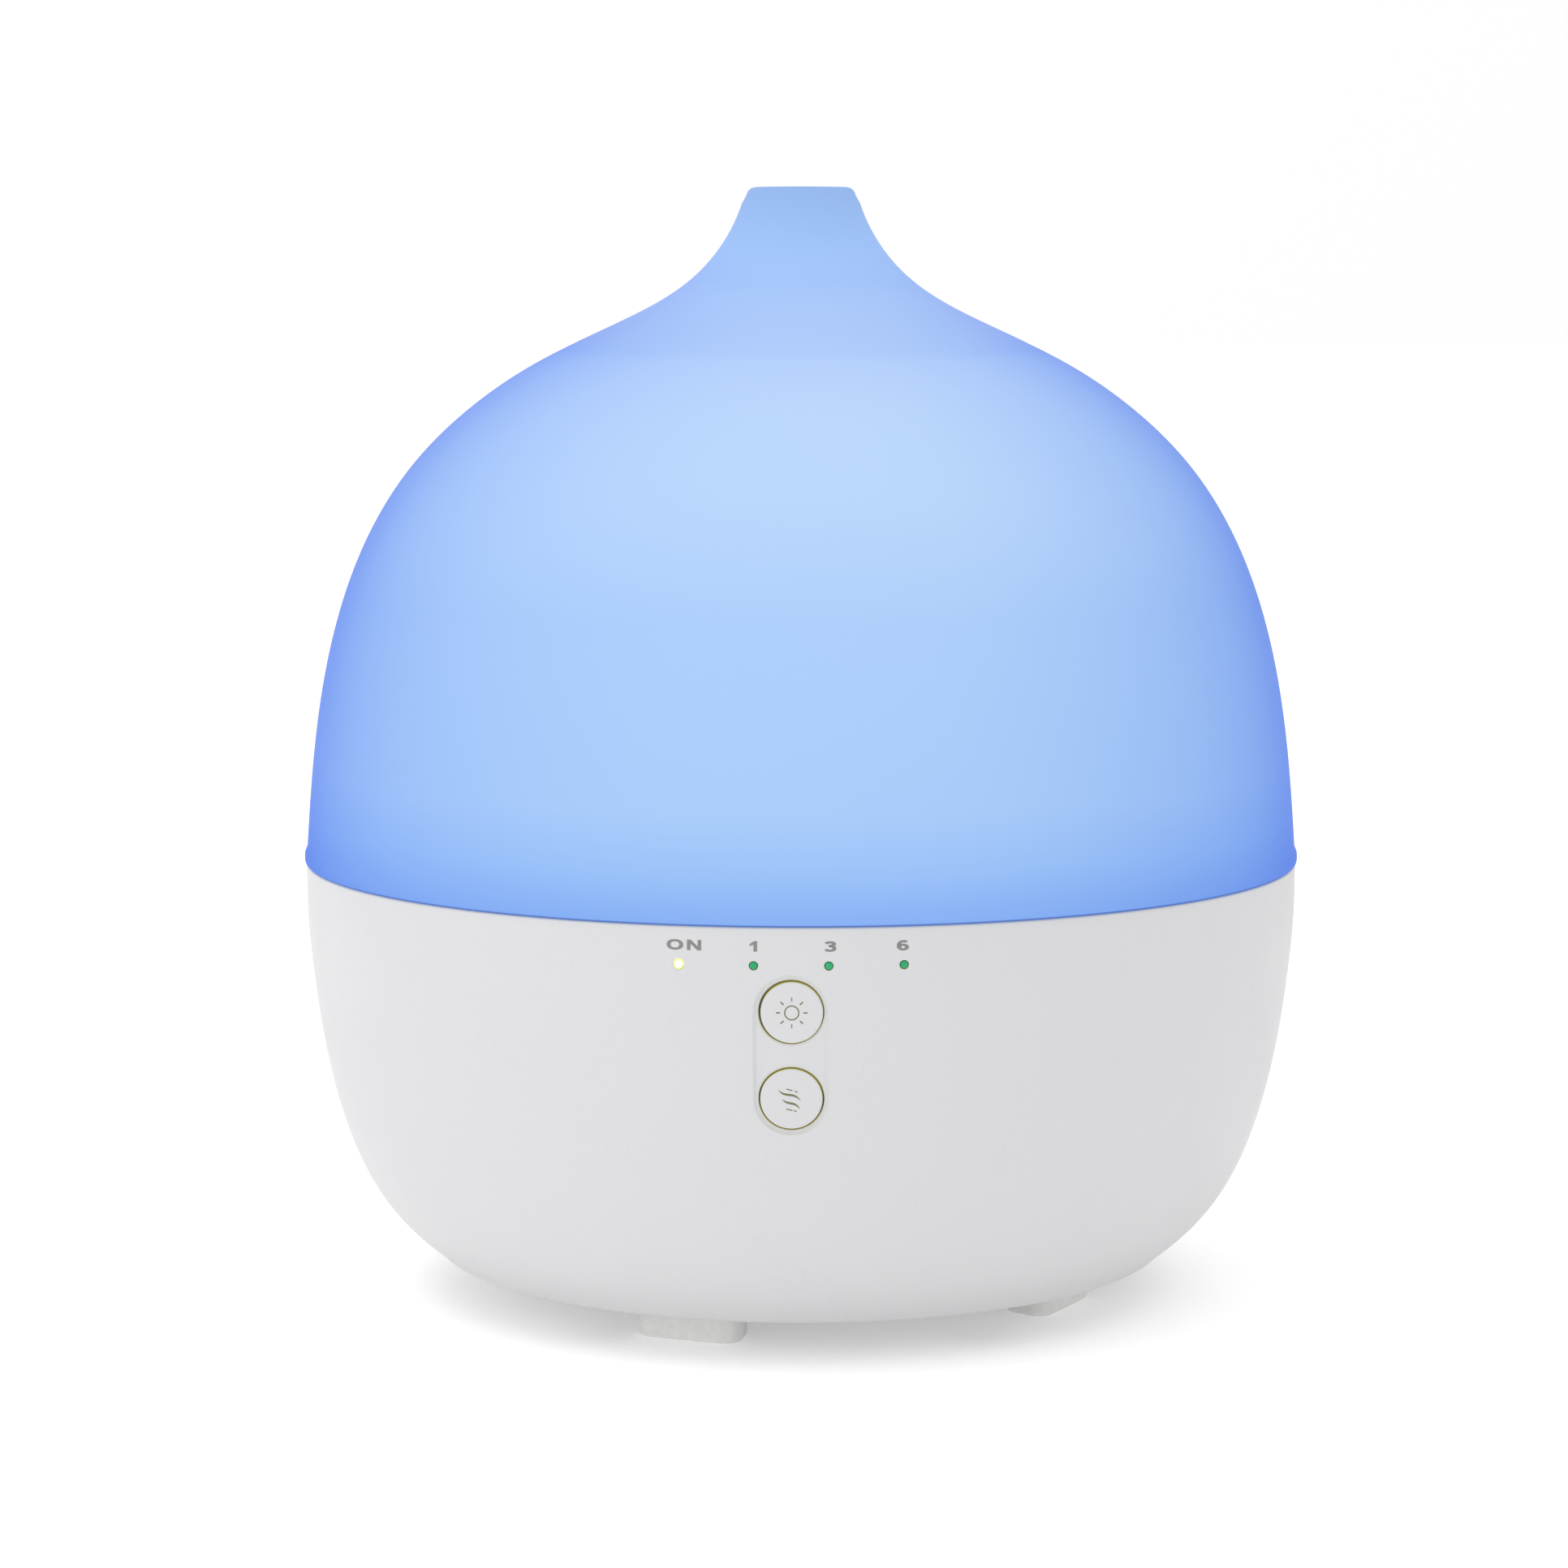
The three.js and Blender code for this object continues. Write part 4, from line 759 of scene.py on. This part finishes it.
def legends():
    """ON, 1, 3 and 6 over the four lenses, in a wide bold typeface."""
    h = LETTER_H / 2
    mid = h - LETTER_STROKE / 2
    wide = lambda points, width=LETTER_STROKE, count=40: stroke(points, width, count, LETTER_STRETCH)
    ring = loop(0.51, mid, 2.3)
    o = tuple(rail * [LETTER_STRETCH, 1] for rail in ribbon(ring, np.full(len(ring), LETTER_STROKE)))
    n = [
        (-1.1, -h), (-1.1, h), (-0.5, h), (0.56, -0.2), (0.56, h),
        (1.1, h), (1.1, -h), (0.5, -h), (-0.56, 0.2), (-0.56, -h),
    ]
    one = [(0.13, h), (0.58, h), (0.58, -h), (0.01, -h), (0.01, 0.24), (-0.58, 0.02), (-0.58, 0.34)]
    three = [
        wide([(-0.36, 0.46), (-0.2, 0.60), (0.02, mid), (0.25, 0.55),
              (0.28, 0.30), (0.10, 0.10), (-0.12, 0.06)]),
        wide([(-0.12, 0.06), (0.14, 0.03), (0.31, -0.18), (0.28, -0.48),
              (0.02, -mid), (-0.22, -0.60), (-0.38, -0.44)]),
    ]
    six = [
        wide([(0.31, 0.50), (0.06, mid), (-0.20, 0.50), (-0.32, 0.10), (-0.30, -0.34), (-0.12, -0.60),
              (0.06, -mid), (0.26, -0.50), (0.32, -0.24), (0.22, 0.0), (0.02, 0.09), (-0.22, -0.02),
              (-0.30, -0.22)], count=64),
    ]
    marks = [
        inlay([o], [], (-17.8, LETTER_Z), front_y), inlay([], [n], (-14.85, LETTER_Z), front_y),
        inlay([], [one], (-5.76, LETTER_Z), front_y), inlay(three, [], (5.97, LETTER_Z), front_y),
        inlay(six, [], (17.05, LETTER_Z), front_y),
    ]
    piece("legends", *joined(*marks), [PRINT_GREY], "base")


CAP_SHIFT = (0.09, -0.05)


def cap_y(x, z):
    """The face of a button's cap, following the body a little behind its outside."""
    return front_y(x, z) + 0.1


def button(name, marks):
    """A cap with a softly rounded edge, its flange and its stem, and the printed icon."""
    z = BUTTON_Z[name]
    back = box_mm(name)[1][1]
    lowest = z - FLANGE_R
    slope = (body_radius(lowest + 1) - body_radius(lowest - 1)) / 2
    wall_inside = WALL * math.hypot(1, slope) - body_radius(lowest)
    flange_y = max(back - 4, wall_inside + 0.3)
    edge = np.radians(np.linspace(12, 90, 7))
    radii = np.concatenate([np.linspace(0.001, CAP_R - 0.3, 16), CAP_R - 0.3 + 0.3 * np.sin(edge)])
    drops = np.concatenate([np.zeros(16), 0.22 * (1 - np.cos(edge))])
    a = np.radians(np.arange(96) * 360 / 96)
    rings = []
    for r, drop in zip(radii, drops):
        x, zz = r * np.sin(a), z - r * np.cos(a)
        rings.append(np.stack([x, cap_y(x, zz) + drop, zz], axis=1))
    flange_end = flange_y + 1.2
    for r, y in ((CAP_R, flange_y), (FLANGE_R, flange_y), (FLANGE_R, flange_end),
                 (1.8, flange_end), (1.8, back), (0.001, back)):
        rings.append(np.stack([r * np.sin(a), np.full(96, y), z - r * np.cos(a)], axis=1))
    vertices = np.concatenate(rings)
    faces = [[k * 96 + i, k * 96 + (i + 1) % 96, (k + 1) * 96 + (i + 1) % 96, (k + 1) * 96 + i]
             for k in range(len(rings) - 1) for i in range(96)]
    faces += [list(range(96)), [(len(rings) - 1) * 96 + i for i in reversed(range(96))]]
    shift = [CAP_SHIFT[0], 0, CAP_SHIFT[1]] if name == "light_button" else [0, 0, 0]
    made = piece(f"{name}_cap", vertices + shift, faces, [WHITE, GAP_SHADE], name)
    # The cap's side wall, down in the gap, takes the painted gap shade and its faint painted glow.
    for face in made.data.polygons:
        centre = face.center / MM
        from_axis = math.hypot(centre.x - shift[0], centre.z - z - shift[2])
        face.material_index = int(CAP_R - 0.05 < from_axis < CAP_R + 0.05 and abs(face.normal.y) < 0.5)
    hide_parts(name)
    icon = inlay(marks, [], (0, z), cap_y, lift=0.012)
    printed = piece(f"{name}_icon", icon[0] + shift, icon[1], [PRINT_OLIVE], name)


def sun_marks():
    """A ring with eight rays."""
    ring = loop(1.08, 1.08, 2, 48)
    marks = [ribbon(ring, np.full(48, 0.2))]
    for turn in range(0, 360, 45):
        d = np.array([math.sin(math.radians(turn)), math.cos(math.radians(turn))])
        marks.append(stroke([1.78 * d, 2.42 * d], 0.17 if turn % 180 == 0 else 0.22))
    return marks


MIST_STRETCH = 1.12


def mist_marks():
    """Two waves with short strokes over and under them."""
    waves = [
        [(-1.77, 1.51), (-1.37, 1.02), (-0.35, 0.69), (0.57, 0.46), (1.29, -0.22)],
        [(-1.26, 0.0), (-0.75, -0.47), (-0.04, -0.67), (0.62, -0.92), (1.18, -1.55)],
    ]
    waves = [[(MIST_STRETCH * x, z) for x, z in points] for points in waves]
    marks = [stroke(points, 0.36, 24, taper=True) for points in waves]
    for start, end in [((-0.65, 1.61), (0.16, 1.37)), ((0.47, 1.31), (0.88, 1.10)),
                       ((-0.69, -1.59), (0.16, -1.82)), ((0.33, -1.82), (0.73, -1.98))]:
        ends = [(MIST_STRETCH * x, z) for x, z in (start, end)]
        marks.append(stroke(ends, 0.17))
    return marks


def lens(name):
    """A light pipe with a slightly domed tip just under the body's outside."""
    x, r = LENS_X[name], LENS_R[name]
    y = float(front_y(x, LENS_Z)) + 0.06
    back = box_mm(name)[1][1]
    profile = [
        (0, y), (0.6 * r, y + 0.02), (0.9 * r, y + 0.07), (r, y + 0.16),
        (r, back - 3), (1.4, back - 3), (1.4, back), (0, back),
    ]
    lit = name == "indicator_lens_on"
    made = piece(f"{name}_pipe", *along_y(profile, x, LENS_Z, 32), [LIT_LENS if lit else GREEN_LENS], "base")
    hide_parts(name)


# ---------- feet ----------
FOOT_INNER_R, FOOT_OUTER_R, FOOT_HALF_TURN, FOOT_CORNER = 42.6, 51.5, 10.8, 3


def foot(name):
    """A soft pad along an arc, with round corners and a rounded lower edge."""
    low, high = box_mm(name)
    mid_r = (FOOT_INNER_R + FOOT_OUTER_R) / 2
    half_w = mid_r * math.radians(FOOT_HALF_TURN)
    half_d = (FOOT_OUTER_R - FOOT_INNER_R) / 2
    centre = (low + high) / 2
    turn = math.degrees(math.atan2(centre[0], -centre[1]))
    edge = 0.9
    turns = [math.radians(t) for t in (0, 18, 36, 54, 72, 90)]
    loops = [(edge * (1 - math.sin(t)), edge * (1 - math.cos(t))) for t in turns]
    loops.append((0, FLOOR_Z - 0.3))
    vertices, n = [], 4 * 9
    for inward, z in loops:
        c = FOOT_CORNER - inward
        for sx, sy, first in ((1, 1, 0), (-1, 1, 90), (-1, -1, 180), (1, -1, 270)):
            for step in range(9):
                a = math.radians(first + 90 * step / 8)
                s = sx * (half_w - FOOT_CORNER) + c * math.cos(a)
                r = mid_r + sy * (half_d - FOOT_CORNER) + c * math.sin(a)
                at = math.radians(turn) + s / mid_r
                vertices.append((r * math.sin(at), -r * math.cos(at), z))
    faces = [[k * n + i, k * n + (i + 1) % n, (k + 1) * n + (i + 1) % n, (k + 1) * n + i]
             for k in range(len(loops) - 1) for i in range(n)]
    faces += [list(range(n)), [(len(loops) - 1) * n + i for i in reversed(range(n))]]
    made = piece(f"{name}_pad", vertices, faces, [RUBBER], "base", smooth=40)
    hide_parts(name)


# ---------- inside the shells ----------
def brick(low, high):
    """Vertices and faces of a box between two corners."""
    (x0, y0, z0), (x1, y1, z1) = low, high
    vertices = [(x, y, z) for z in (z0, z1) for x, y in ((x0, y0), (x1, y0), (x1, y1), (x0, y1))]
    faces = [[3, 2, 1, 0], [4, 5, 6, 7]] + [[i, (i + 1) % 4, (i + 1) % 4 + 4, i + 4] for i in range(4)]
    return np.array(vertices, float), faces


def post(radius, x, y, low, high, facets=48):
    """Vertices and faces of an upright cylinder."""
    vertices, faces = turned([(0, low), (radius, low), (radius, high), (0, high)], even_turns(facets))
    return vertices + [x, y, 0], faces


def at_turn(radius, turn):
    """The place at a radius from the axis, at a turn in degrees from the front."""
    return radius * math.sin(math.radians(turn)), -radius * math.cos(math.radians(turn))


GUIDE_OUTLINE = [
    (64, 79.9), (57, 85), (40, 92.5), (22, 98), (11.5, 105), (9, 116), (8, 150), (7.3, GUIDE_HIGH[2]),
]
GUIDE_WALL, GUIDE_SEAT_Z, GUIDE_FLANGE_R, GUIDE_LIP_R = 1.6, 78.3, 70, 65.6


def mist_guide():
    """The inner lid: a flange on the tank's rim, a lip inside it, and a dome drawn up into the chimney."""
    outside = spline(GUIDE_OUTLINE, 110)
    inside = inset(outside, GUIDE_WALL)[::-1][:-3]
    inside[0, 1] = GUIDE_HIGH[2]
    flange_top = GUIDE_SEAT_Z + GUIDE_WALL
    profile = [
        (GUIDE_FLANGE_R - 0.3, GUIDE_SEAT_Z), *fillet((GUIDE_FLANGE_R - 0.5, flange_top - 0.5), 0.5, 0, 90),
        *outside, *inside, (GUIDE_LIP_R - GUIDE_WALL, GUIDE_SEAT_Z), (GUIDE_LIP_R - GUIDE_WALL, GUIDE_LOW[2]),
        (GUIDE_LIP_R - 0.3, GUIDE_LOW[2]), (GUIDE_LIP_R, GUIDE_LOW[2] + 0.3), (GUIDE_LIP_R, GUIDE_SEAT_Z),
    ]
    made = piece("mist_guide_lid", *turned(profile, even_turns(144)), [MILKY], "mist_guide")
    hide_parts("mist_guide")


TANK_R, TANK_WALL, TANK_FLOOR_Z, TANK_CORNER = 66, 2.2, 36, 10
TOWER_Y, TOWER_R, TOWER_BORE_R, TOWER_TOP_Z, TOWER_LOW_Z = 46, 8.2, 6.6, 72.5, 29.5


def water_tank():
    """The basin with its well, the flange that screws to the base, and the air tower at the rear."""
    outer = TANK_R + TANK_WALL
    centre = (TANK_R - TANK_CORNER, TANK_FLOOR_Z + TANK_CORNER)
    rim = TANK_HIGH[2]
    profile = [
        (8.3, 28.6), (15.4, 28.6), (17.4, TANK_FLOOR_Z - TANK_WALL),
        *fillet(centre, TANK_CORNER + TANK_WALL, -90, 0, 14), (outer, 69.3), (81.2, 69.3), (81.2, 71.3),
        (outer, 71.3), (outer, rim - 0.5), (outer - 0.5, rim), (TANK_R + 0.5, rim), (TANK_R, rim - 0.5),
        *fillet(centre, TANK_CORNER, 0, -90, 14), (17.4, TANK_FLOOR_Z), (16.2, TANK_FLOOR_Z - 0.5),
        (13.6, 31.2), (12.6, 30.5), (8.3, 30.5),
    ]
    made = piece("water_tank_basin", *turned(profile, even_turns(144)), [TANK], "base")
    tower = post(TOWER_R, 0, TOWER_Y, TOWER_LOW_Z, TOWER_TOP_Z)
    combine(made, cutter("tower", *tower, TANK), "UNION")
    for turn in (60, 180, 300):
        combine(made, cutter("boss", *post(2.8, *at_turn(74.5, turn), 52.5, 70.3, 20), TANK), "UNION")
    for turn in (0, 120, 240):
        combine(made, cutter("boss", *post(2.6, *at_turn(16.5, turn), TANK_LOW[2], 35, 20), TANK), "UNION")
    bore = post(TOWER_BORE_R, 0, TOWER_Y, TOWER_LOW_Z - 1, TOWER_TOP_Z + 1)
    combine(made, cutter("bore", *bore, TANK), "DIFFERENCE")
    made.data.shade_smooth()
    made.data.set_sharp_from_angle(angle=math.radians(30))
    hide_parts("water_tank")


def dc_jack():
    """The socket in the rear pocket: a block, a round mouth with a bore, and the pin inside."""
    low, high = box_mm("dc_jack")
    mouth = high[1]
    face = mouth - WALL - 0.3
    made = piece("dc_jack_body", *brick(low, (high[0], face, high[2])), [BLACK], "base")
    tube = [(0, face - 1), (3.95, face - 1), (3.95, mouth - 0.3), (3.65, mouth), (0, mouth)]
    combine(made, cutter("mouth", *along_y(tube, 0, JACK_Z, 48), BLACK), "UNION")
    bore = [
        (0, mouth - 9.5), (2.85, mouth - 9.5), (2.85, mouth - 0.35), (3.2, mouth + 0.01), (0, mouth + 0.01),
    ]
    combine(made, cutter("bore", *along_y(bore, 0, JACK_Z, 48), BLACK), "DIFFERENCE")
    made.data.shade_smooth()
    made.data.set_sharp_from_angle(angle=math.radians(30))
    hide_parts("dc_jack")
    pin = [(0, mouth - 9.6), (1.05, mouth - 9.6), (1.05, mouth - 1.5), (0.6, mouth - 1), (0, mouth - 1)]
    piece("dc_jack_pin", *along_y(pin, 0, JACK_Z, 24), [STEEL], "base")


def pan_screw(name, head_r, head_h, shank_r):
    """A pan-head screw pointing up, with a domed head, a cross recess and a threaded shank."""
    low, high = box_mm(name)
    x, y = (low[:2] + high[:2]) / 2
    top = low[2] + head_h
    turns = [math.radians(t) for t in (0, 20, 40, 60, 75, 84)]
    dome = [(head_r * math.sin(t), top - head_h * math.cos(t) ** 0.6) for t in turns]
    thread = []
    for k in np.arange(top + 0.6, high[2] - 1.2, 0.8):
        thread += [(shank_r * 0.8, k), (shank_r, k + 0.25), (shank_r, k + 0.35)]
    root_r = shank_r * 0.8
    profile = [*dome, (head_r, top), (root_r, top), *thread, (root_r, high[2] - 1), (0, high[2])]
    vertices, faces = turned(profile, even_turns(32))
    made = piece(f"{name}_pan", vertices + [x, y, 0], faces, [STEEL], "base")
    depth = 0.6 * head_h
    for half in ((0.62 * head_r, 0.16 * head_r), (0.16 * head_r, 0.62 * head_r)):
        slot = brick((x - half[0], y - half[1], low[2] - 1), (x + half[0], y + half[1], low[2] + depth))
        combine(made, cutter("recess", *slot, STEEL), "DIFFERENCE")
    made.data.shade_smooth()
    made.data.set_sharp_from_angle(angle=math.radians(30))
    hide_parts(name)


FINISHES = {
    "bottom_cover": WHITE, "fan_duct": MILKY, "control_board": BOARD, "main_board": BOARD, "led_board": BOARD,
    "light_switch_body": BLACK, "mist_switch_body": BLACK, "light_switch_plunger": BLACK,
    "mist_switch_plunger": BLACK, "fan_frame": BLACK, "fan_rotor": BLACK, "inductor": BLACK,
    "capacitor_1": BLACK, "capacitor_2": BLACK, "transducer_disc": CERAMIC, "transducer_seal": SILICONE,
    "transducer_clamp": ALUMINIUM, "heat_sink": ALUMINIUM, "transducer_lead": RED_LEAD, "fan_lead": RED_LEAD,
    "dc_lead": GREY_LEAD, "led_lead": GREY_LEAD, "control_ribbon": GREY_LEAD,
}


def finish_inner_parts():
    """Gives each inner part that keeps its CAD shape its own finish."""
    for name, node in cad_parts.items():
        if name.startswith("light_led"):
            finish = LED
        elif "_screw_" in name:
            finish = STEEL
        else:
            finish = FINISHES.get(name)
        if finish is not None:
            for place in node.material_slots:
                place.material = finish


# ---------- build ----------
place_camera()
studio()
floor()
cover()
housing()
legends()
button("light_button", sun_marks())
button("mist_button", mist_marks())
for lens_name in LENS_NODES:
    lens(lens_name)
for side in ("front_left", "front_right", "rear_right", "rear_left"):
    foot(f"foot_{side}")
mist_guide()
water_tank()
dc_jack()
for number in (1, 2, 3, 4):
    pan_screw(f"bottom_screw_{number}", 2.9, 1.8, 1.25)
finish_inner_parts()
